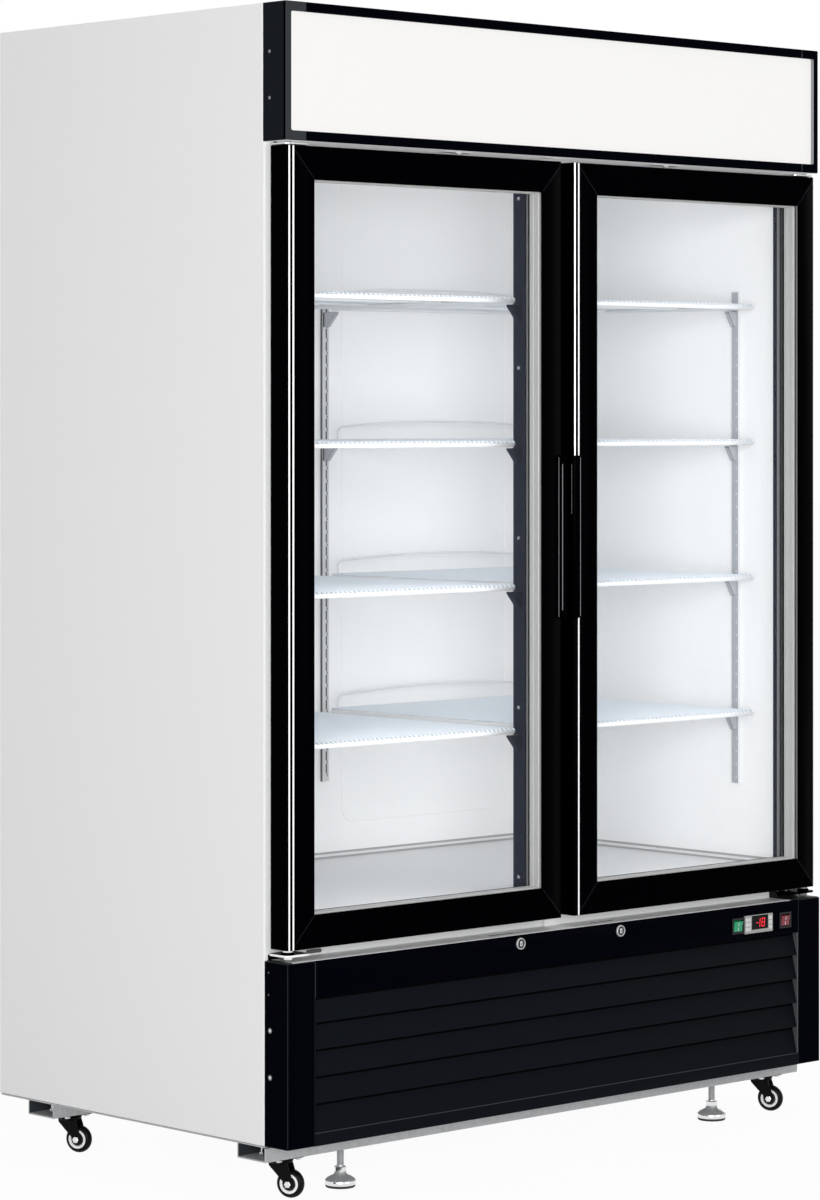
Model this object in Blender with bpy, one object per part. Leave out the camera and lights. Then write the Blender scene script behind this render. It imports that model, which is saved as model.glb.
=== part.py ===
"""Two-door upright display freezer: glass doors, light canopy, louvred fascia, casters and feet.

Metres, +Z up. The origin is on the floor under the middle of the cabinet and the doors face -Y.
"""
import math

import bmesh
import bpy
from mathutils import Matrix, Vector

# Driving dimensions of the whole cabinet
WIDTH = 1.370
BODY_DEPTH = 0.796
HEIGHT = 2.046
CONTROL_REACH = 0.004
GAP = 0.0003
FLOOR_CLEARANCE = 0.100
FASCIA_TOP = 0.4155
CANOPY_BOTTOM = 1.8105

# Distances behind the front of the fascia
CANOPY_FRONT = 0.004
DOOR_FRONT = 0.002
DOOR_REAR = 0.054
FRAME_FACE = 0.0575
FRAME_BACK = 0.0597
CABINET_FRONT = 0.060

# Insulated cabinet
SIDE_WALL = 0.058
REAR_WALL = 0.058
ROOF = 0.058
SKIN = 0.0025
INSIDE_FLOOR = 0.478
CEILING = 1.812
FRAME_BAR = 0.060
LINTEL = 1.750

# Doors
DOOR_INSET = 0.010
DOOR_WIDTH = 0.658
DOOR_BOTTOM = 0.436
DOOR_TOP = 1.8025
STILE = 0.0545
RAIL_FACE = 0.058
GLASS_OVERLAP = 0.006
GLASS_FRONT = 0.005
GLASS_BACK = 0.0385
GASKET_INSET = 0.012
GASKET_WIDTH = 0.012
PIVOT_INSET = 0.022
PIVOT_DEPTH = 0.024
PIVOT_RADIUS = 0.005
PIVOT_HOLE_DEPTH = 0.016
HANDLE_BOTTOM = 0.977
HANDLE_TOP = 1.271

# Shelves, each bay the same
SHELF_LEVELS = [1.5588 - 0.2611 * level for level in range(4)]
SHELF_THICKNESS = 0.009
SHELF_FRONT = 0.097
SHELF_BACK = 0.700
SHELF_OUTER_INSET = 0.073
SHELF_INNER_INSET = 0.648
SHELF_WIRES = 17
SHELF_STOP_HEIGHT = 0.036
SHELF_STOP_BOW = 0.009
PILASTER_BOTTOM = 0.629
PILASTER_TOP = 1.583
PILASTER_WIDTH = 0.016
PILASTER_DEPTH = 0.007
PILASTER_DEPTHS = {"front": 0.1625, "rear": 0.640}
CENTRE_PILASTER_INSET = 0.6235
CLIP_HEIGHT = 0.027
CLIP_REACH = 0.030

# Lower fascia
COLUMN = 0.063
LOUVRE_TOP = 0.353
LOUVRE_FIRST = 0.0429
LOUVRE_PITCH = 0.0459
LOUVRE_FOOT = 0.1225
LOUVRE_COUNT = 5
LOUVRE_SETBACK = 0.014
LOCK_OFFSET = 0.129
LOCK_HEIGHT = 0.400
LOCK_RADIUS = 0.0108
CAM_LENGTH = 0.050
CAM_FRONT = 0.028
CAM_BACK = 0.031
CONTROLLER_X = 0.5057
CONTROLLER_Z = 0.3804
CONTROLLER_SIZE = (0.078, 0.034)
SWITCH_Z = 0.380
SWITCHES = {"green": 0.450, "red": 0.584}
ROCKER_TILT = math.radians(8)

# Underside
RAIL_BOTTOM = 0.072
RAIL_TOP = 0.0967
RAIL_DEPTH = 0.073
RAIL_WALL = 0.0025
RAIL_FRONTS = {"front": 0.057, "rear": 0.638}
CASTER_INSET = 0.066
CASTER_TRAIL = 0.020
CASTER_TURN = math.radians(-65)
WHEEL_RADIUS = 0.025
WHEEL_WIDTH = 0.018
AXLE_RADIUS = 0.004
FRONT_WHEEL_LIFT = 0.0008
FOOT_INSET = 0.206

HALF = WIDTH / 2
FRONT = -(BODY_DEPTH - CONTROL_REACH) / 2
SIDES = {"left": -1, "right": 1}

# Finishes: colour, roughness, metallic
FINISHES = {
    "white_panel": ((0.72, 0.72, 0.72), 0.35, 0.0),
    "white_liner": ((0.82, 0.84, 0.86), 0.35, 0.0),
    "light_frame": ((0.70, 0.71, 0.72), 0.30, 0.2),
    "navy": ((0.022, 0.026, 0.040), 0.40, 0.0),
    "satin_black": ((0.009, 0.010, 0.011), 0.45, 0.0),
    "gloss_black": ((0.004, 0.004, 0.005), 0.18, 0.0),
    "charcoal": ((0.010, 0.012, 0.014), 0.50, 0.0),
    "opal": ((0.90, 0.90, 0.89), 0.40, 0.0),
    "clear": ((0.92, 0.95, 0.95), 0.03, 0.0),
    "grey_rubber": ((0.60, 0.61, 0.61), 0.60, 0.0),
    "zinc": ((0.48, 0.50, 0.52), 0.38, 0.9),
    "steel": ((0.60, 0.61, 0.62), 0.28, 1.0),
    "chrome": ((0.75, 0.75, 0.76), 0.12, 1.0),
    "silver_plastic": ((0.42, 0.42, 0.41), 0.40, 0.3),
    "white_wire": ((0.85, 0.86, 0.87), 0.30, 0.0),
    "green_lens": ((0.02, 0.50, 0.06), 0.25, 0.0),
    "red_lens": ((0.60, 0.02, 0.02), 0.25, 0.0),
    "black_shell": ((0.012, 0.012, 0.012), 0.35, 0.1),
    "aluminium": ((0.55, 0.56, 0.57), 0.35, 1.0),
    "black_wheel": ((0.010, 0.010, 0.010), 0.60, 0.0),
}


def clear_scene():
    for item in list(bpy.data.objects):
        bpy.data.objects.remove(item, do_unlink=True)


def behind(distance):
    """Y at a distance behind the front of the fascia."""
    return FRONT + distance


def from_side(side, inset):
    """X at a distance in from the left (-1) or right (1) side of the cabinet."""
    return side * (HALF - inset)


def finish_material(name, finish):
    colour, roughness, metallic = FINISHES[finish]
    material = bpy.data.materials.new(name)
    material.use_nodes = True
    shader = material.node_tree.nodes["Principled BSDF"]
    shader.inputs["Base Color"].default_value = (*colour, 1.0)
    shader.inputs["Roughness"].default_value = roughness
    shader.inputs["Metallic"].default_value = metallic
    material.diffuse_color = (*colour, 1.0)
    return material


def box(low, high):
    """A block between two corners, given in any order."""
    corners = [sorted(pair) for pair in zip(low, high)]
    size = [pair[1] - pair[0] for pair in corners]
    centre = [(pair[0] + pair[1]) / 2 for pair in corners]
    shape = bmesh.new()
    stretch = Matrix.Translation(centre) @ Matrix.Diagonal((*size, 1.0))
    bmesh.ops.create_cube(shape, size=1.0, matrix=stretch)
    return shape


def prism(outline, axis, low, high):
    """An outline pushed along an axis: (y, z) along x, (x, z) along y or (x, y) along z."""
    order = {"x": lambda a, b, c: (c, a, b),
             "y": lambda a, b, c: (a, c, b),
             "z": lambda a, b, c: (a, b, c)}
    shape = bmesh.new()
    ends = [[shape.verts.new(order[axis](a, b, c)) for a, b in outline] for c in (low, high)]
    shape.faces.new(ends[0])
    shape.faces.new(ends[1])
    count = len(outline)
    for index in range(count):
        after = (index + 1) % count
        shape.faces.new((ends[0][index], ends[0][after], ends[1][after], ends[1][index]))
    bmesh.ops.recalc_face_normals(shape, faces=shape.faces)
    return shape


def mitred_ring(x_range, z_range, section):
    """A picture-frame ring: section points are (inset from the outer edge, y).

    An inset may be a pair: one for the upright sides and one for the top and bottom.
    """
    shape = bmesh.new()
    loops = []
    for inset, y in section:
        across, up = inset if isinstance(inset, tuple) else (inset, inset)
        x0, x1 = min(x_range) + across, max(x_range) - across
        z0, z1 = z_range[0] + up, z_range[1] - up
        corners = ((x0, z0), (x1, z0), (x1, z1), (x0, z1))
        loops.append([shape.verts.new((x, y, z)) for x, z in corners])
    for index, loop in enumerate(loops):
        following = loops[(index + 1) % len(loops)]
        for corner in range(4):
            other = (corner + 1) % 4
            shape.faces.new((loop[corner], loop[other], following[other], following[corner]))
    bmesh.ops.recalc_face_normals(shape, faces=shape.faces)
    return shape


def turned(profile, centre, axis="z", sides=24, closed=False):
    """A turned piece: profile points are (radius, height); closed makes a ring with a bore."""
    shape = bmesh.new()
    rings = []
    for radius, height in profile:
        if radius == 0:
            rings.append([shape.verts.new((0, 0, height))])
            continue
        ring = []
        for step in range(sides):
            angle = 2 * math.pi * step / sides
            ring.append(shape.verts.new((radius * math.cos(angle), radius * math.sin(angle), height)))
        rings.append(ring)
    pairs = list(zip(rings, rings[1:]))
    if closed:
        pairs.append((rings[-1], rings[0]))
    for lower, upper in pairs:
        for step in range(sides):
            after = (step + 1) % sides
            corners = [lower[step % len(lower)], lower[after % len(lower)]]
            corners += [upper[after % len(upper)], upper[step % len(upper)]]
            shape.faces.new(list(dict.fromkeys(corners)))
    bmesh.ops.recalc_face_normals(shape, faces=shape.faces)
    turns = {"z": Matrix(), "y": Matrix.Rotation(math.radians(-90), 4, "X"),
             "x": Matrix.Rotation(math.radians(90), 4, "Y")}
    bmesh.ops.transform(shape, matrix=Matrix.Translation(centre) @ turns[axis], verts=shape.verts)
    return shape


def cylinder(radius, low, high, centre, axis="z", sides=24):
    return turned([(0, low), (radius, low), (radius, high), (0, high)], centre, axis, sides)


def moved(shape, matrix):
    bmesh.ops.transform(shape, matrix=matrix, verts=shape.verts)
    return shape


def together(shapes):
    """Several separate shapes in one mesh, for a cutter or a set of pieces to join on."""
    whole = bmesh.new()
    for shape in shapes:
        mesh = bpy.data.meshes.new("piece")
        shape.to_mesh(mesh)
        shape.free()
        whole.from_mesh(mesh)
        bpy.data.meshes.remove(mesh)
    return whole


def place(name, shape, pivot=(0, 0, 0)):
    """An object whose origin is the pivot, from a shape given in world coordinates."""
    bmesh.ops.transform(shape, matrix=Matrix.Translation(-Vector(pivot)), verts=shape.verts)
    mesh = bpy.data.meshes.new(name)
    shape.to_mesh(mesh)
    shape.free()
    item = bpy.data.objects.new(name, mesh)
    item.location = pivot
    bpy.context.scene.collection.objects.link(item)
    return item


def add(name, shape, finish, pivot=(0, 0, 0), smooth=False):
    item = place(name, shape, pivot)
    item.data.materials.append(finish_material(name, finish))
    if smooth:
        item.data.shade_smooth()
        item.data.set_sharp_from_angle(angle=math.radians(35))
    return item


def combine(item, operation, shape, label):
    helper = place(f"{item.name}_{label}", shape)
    helper.hide_render = True
    helper.display_type = "WIRE"
    modifier = item.modifiers.new(label, "BOOLEAN")
    modifier.operation = operation
    modifier.object = helper
    return item


def cut(item, shape, label="cut"):
    return combine(item, "DIFFERENCE", shape, label)


def join_on(item, shape, label="joined"):
    return combine(item, "UNION", shape, label)


def build_cabinet():
    """Insulated walls: skin, foam and liner bonded into one panel each."""
    inner = HALF - SIDE_WALL - GAP
    rear = behind(BODY_DEPTH)
    rear_inside = behind(BODY_DEPTH - REAR_WALL)
    for word, side in SIDES.items():
        add(f"side_wall_{word}", box((from_side(side, 0), behind(CABINET_FRONT), FLOOR_CLEARANCE),
                                     (from_side(side, SIDE_WALL), rear, HEIGHT)), "white_panel")
    wall_bottom = FASCIA_TOP + GAP
    rear_outline = [(rear_inside, wall_bottom), (rear_inside, HEIGHT), (rear, HEIGHT),
                    (rear, FLOOR_CLEARANCE), (rear - SKIN, FLOOR_CLEARANCE), (rear - SKIN, wall_bottom)]
    back_wall = add("back_wall", prism(rear_outline, "x", -inner, inner), "white_panel")
    vents = [box((x - 0.070, rear - 0.01, z - 0.004), (x + 0.070, rear + 0.01, z + 0.004))
             for x in (-0.45, -0.27, -0.09, 0.09, 0.27) for z in (0.18, 0.21, 0.24, 0.27, 0.30)]
    inlet = box((0.486, rear - 0.01, 0.206), (0.514, rear + 0.01, 0.226))
    cut(back_wall, together(vents + [inlet]), "vents_and_inlet")
    roof_front = behind(CABINET_FRONT)
    header_back = behind(CABINET_FRONT + 0.055)
    roof_outline = [(roof_front, LINTEL + 0.010), (header_back, LINTEL + 0.010),
                    (header_back, HEIGHT - ROOF), (rear_inside - GAP, HEIGHT - ROOF),
                    (rear_inside - GAP, HEIGHT), (roof_front, HEIGHT)]
    add("roof_wall", prism(roof_outline, "x", -inner, inner), "white_panel")
    add("floor_slab", box((-inner, behind(CABINET_FRONT), wall_bottom),
                          (inner, rear_inside - GAP, INSIDE_FLOOR)), "steel")


def build_front_frame():
    """Light frame that the gaskets close on; its upper corners carry the top hinge pins."""
    section = [(0, behind(FRAME_FACE)), (FRAME_BAR, behind(FRAME_FACE)),
               (FRAME_BAR, behind(FRAME_BACK)), (0, behind(FRAME_BACK))]
    z_range = (FASCIA_TOP + GAP, LINTEL + FRAME_BAR)
    frame = add("front_frame", mitred_ring((-HALF, HALF), z_range, section), "light_frame")
    pieces = []
    for side in SIDES.values():
        pieces.append(box((from_side(side, 0.006), behind(0.010), DOOR_TOP + 0.0012),
                          (from_side(side, 0.060), behind(FRAME_FACE + 0.001), DOOR_TOP + 0.0042)))
    join_on(frame, together(pieces), "hinge_plates")
    pins = []
    for side in SIDES.values():
        axis_foot = (from_side(side, PIVOT_INSET), behind(PIVOT_DEPTH), 0)
        pins.append(cylinder(PIVOT_RADIUS, DOOR_TOP - 0.013, DOOR_TOP + 0.003, axis_foot, sides=16))
    join_on(frame, together(pins), "hinge_pins")
    plate_half = 0.050
    web_half = 0.028
    face, web_front = behind(FRAME_FACE), behind(FRAME_FACE + 0.0045)
    web_back = behind(0.122)
    outline = [(-plate_half, face), (plate_half, face), (plate_half, web_front),
               (web_half, web_front), (web_half, web_back), (-web_half, web_back),
               (-web_half, web_front), (-plate_half, web_front)]
    mullion = add("centre_mullion", prism(outline, "z", INSIDE_FLOOR + GAP, LINTEL - GAP), "navy")
    clips = []
    for level in SHELF_LEVELS:
        for side in SIDES.values():
            corner = Vector((side * (web_half - 0.001), behind(0.104), level))
            clips.append(clip_shape(corner, (side, 0), 0.012))
    join_on(mullion, together(clips), "shelf_clips")


def clip_shape(corner, outward, width):
    """A triangular shelf clip: its flat top lies under a shelf and it tapers down to the post."""
    top = corner.z - SHELF_THICKNESS - GAP
    foot = top - CLIP_HEIGHT
    outline = [(0, top), (CLIP_REACH, top), (CLIP_REACH, top - 0.004), (0.006, foot), (0, foot)]
    shape = prism(outline, "y", -width / 2, width / 2)
    turn = Matrix.Rotation(math.atan2(outward[1], outward[0]), 4, "Z")
    return moved(shape, Matrix.Translation((corner.x, corner.y, 0)) @ turn)


def build_pilasters():
    """Slotted posts with four shelf clips each: four on the side walls and two on the back wall."""
    back = behind(BODY_DEPTH - REAR_WALL) - GAP
    half = PILASTER_WIDTH / 2
    for word, side in SIDES.items():
        wall = from_side(side, SIDE_WALL + GAP)
        face = from_side(side, SIDE_WALL + GAP + PILASTER_DEPTH)
        inward = face + side * 0.001
        for place_word, depth in PILASTER_DEPTHS.items():
            middle = behind(depth)
            post = add(f"pilaster_{place_word}_{word}", box((wall, middle - half, PILASTER_BOTTOM),
                                                            (face, middle + half, PILASTER_TOP)), "zinc")
            clips = [clip_shape(Vector((inward, middle, level)), (-side, 0), 0.012)
                     for level in SHELF_LEVELS]
            join_on(post, together(clips), "clips")
        x = from_side(side, CENTRE_PILASTER_INSET)
        body = box((x - half, back - PILASTER_DEPTH, PILASTER_BOTTOM), (x + half, back, PILASTER_TOP))
        post = add(f"pilaster_centre_{word}", body, "zinc")
        edge = back - PILASTER_DEPTH + 0.001
        join_on(post, together([rear_clip(Vector((x, edge, level))) for level in SHELF_LEVELS]), "clips")


def rear_clip(corner):
    """A rear clip reaches forward under the back rail of a shelf."""
    top = corner.z - SHELF_THICKNESS - GAP
    reach = corner.y - behind(SHELF_BACK) + 0.009
    foot = top - CLIP_HEIGHT
    outline = [(0, top), (-reach, top), (-reach, top - 0.004), (-0.006, foot), (0, foot)]
    outline = [(corner.y + y, z) for y, z in outline]
    return prism(outline, "x", corner.x - 0.006, corner.x + 0.006)


def build_shelves():
    """White wire shelves: front-to-back wires between rails, with an upright stop along the back."""
    width = SHELF_INNER_INSET - SHELF_OUTER_INSET
    rail = 0.012
    pitch = (width - 2 * rail) / SHELF_WIRES
    wire = 0.006
    stop_thick = 0.005
    for word, side in SIDES.items():
        start = from_side(side, SHELF_OUTER_INSET) if side < 0 else from_side(side, SHELF_INNER_INSET)
        for number, top in enumerate(SHELF_LEVELS, 1):
            low = (start, behind(SHELF_FRONT), top - SHELF_THICKNESS)
            high = (start + width, behind(SHELF_BACK), top)
            shelf = add(f"shelf_{word}_{number}", box(low, high), "white_wire")
            slots = []
            for index in range(SHELF_WIRES):
                left = start + rail + index * pitch + wire / 2
                slots.append(box((left, behind(SHELF_FRONT + rail), top - 0.02),
                                 (left + pitch - wire, behind(SHELF_BACK - rail), top + 0.02)))
            cut(shelf, together(slots), "gaps")
            x0, x1 = start + 0.020, start + width - 0.020
            base, crest = top - 0.004, top + SHELF_STOP_HEIGHT
            shoulder = crest - SHELF_STOP_BOW
            corner = 0.014
            middle = (x0 + x1) / 2
            outer = [(x0, base), (x0, shoulder - corner), (x0 + corner, shoulder), (middle, crest),
                     (x1 - corner, shoulder), (x1, shoulder - corner), (x1, base)]
            x0, x1 = x0 + stop_thick, x1 - stop_thick
            shoulder, crest = shoulder - stop_thick, crest - stop_thick
            inner = [(x1, base), (x1, shoulder - corner), (x1 - corner, shoulder), (middle, crest),
                     (x0 + corner, shoulder), (x0, shoulder - corner), (x0, base)]
            back = behind(SHELF_BACK - 0.0035)
            join_on(shelf, prism(outer + inner, "y", back - stop_thick, back), "stop")


def build_cooling():
    """Evaporator behind the ceiling panel; compressor, condenser and fan on the base pan."""
    inner = HALF - SIDE_WALL - GAP
    fan_y = behind(0.300)
    ceiling = add("ceiling_panel", box((-inner, behind(CABINET_FRONT + 0.055) + GAP, CEILING),
                                       (inner, behind(BODY_DEPTH - REAR_WALL) - GAP, CEILING + SKIN)),
                  "white_liner")
    returns = [box((x - 0.08, behind(0.69), CEILING - 0.01), (x + 0.08, behind(0.71), CEILING + 0.01))
               for x in (-0.5, -0.3, -0.1, 0.1, 0.3, 0.5)]
    opening = cylinder(0.096, CEILING - 0.01, CEILING + 0.01, (0, fan_y, 0), sides=32)
    cut(ceiling, together(returns + [opening]), "air_ways")
    bar_z = CEILING + 0.048
    legs = [box((x - 0.010, fan_y - 0.010, CEILING + 0.001), (x + 0.010, fan_y + 0.010, bar_z))
            for x in (-0.110, 0.110)]
    join_on(ceiling, together(legs), "motor_legs")
    bar = box((-0.120, fan_y - 0.010, bar_z - 0.001), (0.120, fan_y + 0.010, bar_z + 0.003))
    join_on(ceiling, bar, "bar")
    join_on(ceiling, cylinder(0.030, bar_z + 0.001, bar_z + 0.040, (0, fan_y, 0)), "motor")
    add_fan("evaporator_fan", (0, fan_y, CEILING + 0.024), "z", 0.088)
    coil_low = (-0.48, behind(0.44), CEILING + 0.028)
    coil_high = (0.48, behind(0.68), HEIGHT - ROOF - 0.008)
    add_coil("evaporator", coil_low, coil_high)

    rear_edge = behind(BODY_DEPTH - 0.004)
    pan_top = FLOOR_CLEARANCE - GAP
    pan = add("base_pan", box((-HALF + 0.001, behind(CABINET_FRONT), RAIL_TOP + GAP),
                              (HALF - 0.001, rear_edge, pan_top)), "zinc")
    fan_x, fan_z = -0.310, 0.255
    join_on(pan, box((fan_x - 0.020, behind(0.226), RAIL_TOP + 0.002),
                     (fan_x + 0.020, behind(0.230), fan_z + 0.02)), "bracket")
    join_on(pan, cylinder(0.030, 0.222, 0.262, (fan_x, FRONT, fan_z), "y"), "motor")
    add_fan("condenser_fan", (fan_x, behind(0.202), fan_z), "y", 0.105)
    add_coil("condenser", (-0.535, behind(0.080), pan_top + GAP), (-0.085, behind(0.172), 0.395))
    shell = [(0, 0.012), (0.072, 0.012), (0.088, 0.034), (0.092, 0.090), (0.088, 0.150), (0.068, 0.185),
             (0.030, 0.200), (0, 0.202)]
    centre = (0.330, behind(0.480), pan_top + GAP)
    compressor = add("compressor", turned(shell, centre), "black_shell", smooth=True)
    plate = box((centre[0] - 0.110, centre[1] - 0.075, centre[2]),
                (centre[0] + 0.110, centre[1] + 0.075, centre[2] + 0.016))
    join_on(compressor, plate, "mounting_plate")


def add_fan(name, hub, axis, radius):
    """A five-blade axial fan turning about its hub."""
    blades = []
    for step in range(5):
        blade = box((0.016, -0.024, -0.0012), (radius, 0.024, 0.0012))
        pitch = Matrix.Rotation(math.radians(24), 4, "X")
        blades.append(moved(blade, Matrix.Rotation(math.radians(72 * step), 4, "Z") @ pitch))
    turn = Matrix() if axis == "z" else Matrix.Rotation(math.radians(-90), 4, "X")
    world = Matrix.Translation(hub) @ turn
    boss = moved(cylinder(0.026, -0.013, 0.013, (0, 0, 0), sides=20), world)
    fan = add(name, boss, "black_shell", pivot=hub)
    join_on(fan, moved(together(blades), world), "blades")


def add_coil(name, low, high):
    """A finned coil block, with its fins across the width."""
    coil = add(name, box(low, high), "aluminium")
    count = 12
    step = (high[0] - low[0]) / count
    cuts = [box((low[0] + step * (index + 0.25), low[1] - 0.01, low[2] + 0.02),
                (low[0] + step * (index + 0.75), low[1] + 0.03, high[2] - 0.02))
            for index in range(count)]
    cut(coil, together(cuts), "fin_gaps")


def build_canopy():
    """Light box over the doors: a black frame round an opal sign panel."""
    lip, wall, recess = (0.0124, 0.0163), 0.004, 0.008
    front, back = behind(CANOPY_FRONT), behind(FRAME_FACE - GAP)
    section = [(0, front), (lip, front), (lip, front + recess), (wall, front + recess),
               (wall, back), (0, back)]
    add("canopy_frame", mitred_ring((-HALF, HALF), (CANOPY_BOTTOM, HEIGHT), section), "satin_black")
    edge = wall + GAP
    add("sign_panel", box((-HALF + edge, front + recess + GAP, CANOPY_BOTTOM + edge),
                          (HALF - edge, front + recess + 0.005, HEIGHT - edge)), "opal")


def build_fascia():
    """Corner columns and the louvred middle panel that carries the locks, display and switches."""
    wall = 0.003
    rear = FRAME_FACE - GAP
    for word, side in SIDES.items():
        outline = [(0, 0), (COLUMN, 0), (COLUMN, wall), (wall, wall), (wall, rear), (0, rear)]
        outline = [(from_side(side, inset), behind(depth)) for inset, depth in outline]
        add(f"fascia_column_{word}", prism(outline, "z", FLOOR_CLEARANCE, FASCIA_TOP), "satin_black")
    sheet = 0.0025
    lip = 0.002
    outer = [(rear, FASCIA_TOP), (0, FASCIA_TOP), (0, LOUVRE_TOP), (LOUVRE_SETBACK, LOUVRE_TOP)]
    inner = [(sheet, LOUVRE_TOP + sheet), (LOUVRE_SETBACK + sheet, LOUVRE_TOP + sheet)]
    for z in blade_edges():
        outer.append((lip, z))
        inner.append((lip + sheet, z + sheet))
        if z > LOUVRE_FOOT:
            outer.append((LOUVRE_SETBACK, z))
            inner.append((LOUVRE_SETBACK + sheet, z + sheet))
    outer += [(0, LOUVRE_FOOT), (0, FLOOR_CLEARANCE), (0.020, FLOOR_CLEARANCE),
              (0.020, FLOOR_CLEARANCE + sheet), (sheet, FLOOR_CLEARANCE + sheet), (sheet, LOUVRE_FOOT)]
    inner = [(sheet, FASCIA_TOP - sheet)] + inner
    outline = outer + inner[::-1] + [(rear, FASCIA_TOP - sheet)]
    outline = [(behind(depth), z) for depth, z in outline]
    reach = HALF - COLUMN - GAP
    panel = add("grille_panel", prism(outline, "x", -reach, reach), "charcoal")
    cut(panel, together(air_slots(reach)), "air_slots")
    holes = []
    for side in SIDES.values():
        x = side * LOCK_OFFSET
        holes.append(cylinder(LOCK_RADIUS + 0.0005, -0.01, 0.01, (x, FRONT, LOCK_HEIGHT), "y"))
        holes.append(box((x - CAM_LENGTH - 0.003, behind(CAM_FRONT - 0.003), FASCIA_TOP - 0.01),
                         (x + 0.012, behind(CAM_BACK + 0.003), FASCIA_TOP + 0.01)))
    for x in SWITCHES.values():
        holes.append(box((x - 0.0125, behind(-0.01), SWITCH_Z - 0.0115),
                         (x + 0.0125, behind(0.01), SWITCH_Z + 0.0115)))
    holes.append(box((CONTROLLER_X - 0.036, behind(-0.01), CONTROLLER_Z - 0.015),
                     (CONTROLLER_X + 0.036, behind(0.01), CONTROLLER_Z + 0.015)))
    cut(panel, together(holes), "control_holes")


def blade_edges():
    """Heights of the lower edges of the blades, from the top one down."""
    first = LOUVRE_TOP - LOUVRE_FIRST
    return [first - LOUVRE_PITCH * number for number in range(LOUVRE_COUNT - 1)] + [LOUVRE_FOOT]


def air_slots(reach):
    """Short air slots through the ledge above each blade, with ribs left between them."""
    count = 7
    pitch = 2 * (reach - 0.02) / count
    slots = []
    for z in [LOUVRE_TOP] + blade_edges()[:-1]:
        for index in range(count):
            left = -reach + 0.02 + index * pitch
            slots.append(box((left + 0.012, behind(0.0065), z - 0.002),
                             (left + pitch - 0.012, behind(0.0122), z + 0.0045)))
    return slots


def build_controls():
    """Display, two rocker switches and two key locks with swinging cams."""
    half_width, half_height = CONTROLLER_SIZE[0] / 2, CONTROLLER_SIZE[1] / 2
    bezel = box((CONTROLLER_X - half_width, behind(-CONTROL_REACH), CONTROLLER_Z - half_height),
                (CONTROLLER_X + half_width, behind(-GAP), CONTROLLER_Z + half_height))
    controller = add("controller", bezel, "silver_plastic")
    join_on(controller, box((CONTROLLER_X - 0.0355, behind(-0.001), CONTROLLER_Z - 0.0145),
                            (CONTROLLER_X + 0.0355, behind(0.060), CONTROLLER_Z + 0.0145)), "case")
    for word, x in SWITCHES.items():
        pivot = (x, behind(0.005), SWITCH_Z)
        crown = 0.0075
        outline = [(-crown, -0.0095), (-crown + 0.0012, 0), (-crown, 0.0095),
                   (0.006, 0.0095), (0.006, -0.0095)]
        tilted = Matrix.Translation(pivot) @ Matrix.Rotation(ROCKER_TILT, 4, "X")
        shape = moved(prism(outline, "x", -0.0115, 0.0115), tilted)
        add(f"rocker_{word}", shape, f"{word}_lens", pivot=pivot)
    for word, side in SIDES.items():
        pivot = (side * LOCK_OFFSET, FRONT, LOCK_HEIGHT)
        profile = [(0, -0.003), (LOCK_RADIUS - 0.0015, -0.003), (LOCK_RADIUS, -0.0015),
                   (LOCK_RADIUS, 0.010), (0.0062, 0.012), (0.0062, CAM_FRONT + 0.0015),
                   (0, CAM_FRONT + 0.0015)]
        lock = add(f"lock_{word}", turned(profile, pivot, "y"), "chrome", pivot=pivot, smooth=True)
        cam = box((pivot[0] - CAM_LENGTH, behind(CAM_FRONT), LOCK_HEIGHT - 0.008),
                  (pivot[0] + 0.0085, behind(CAM_BACK), LOCK_HEIGHT + 0.008))
        join_on(lock, cam, "cam")


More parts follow.
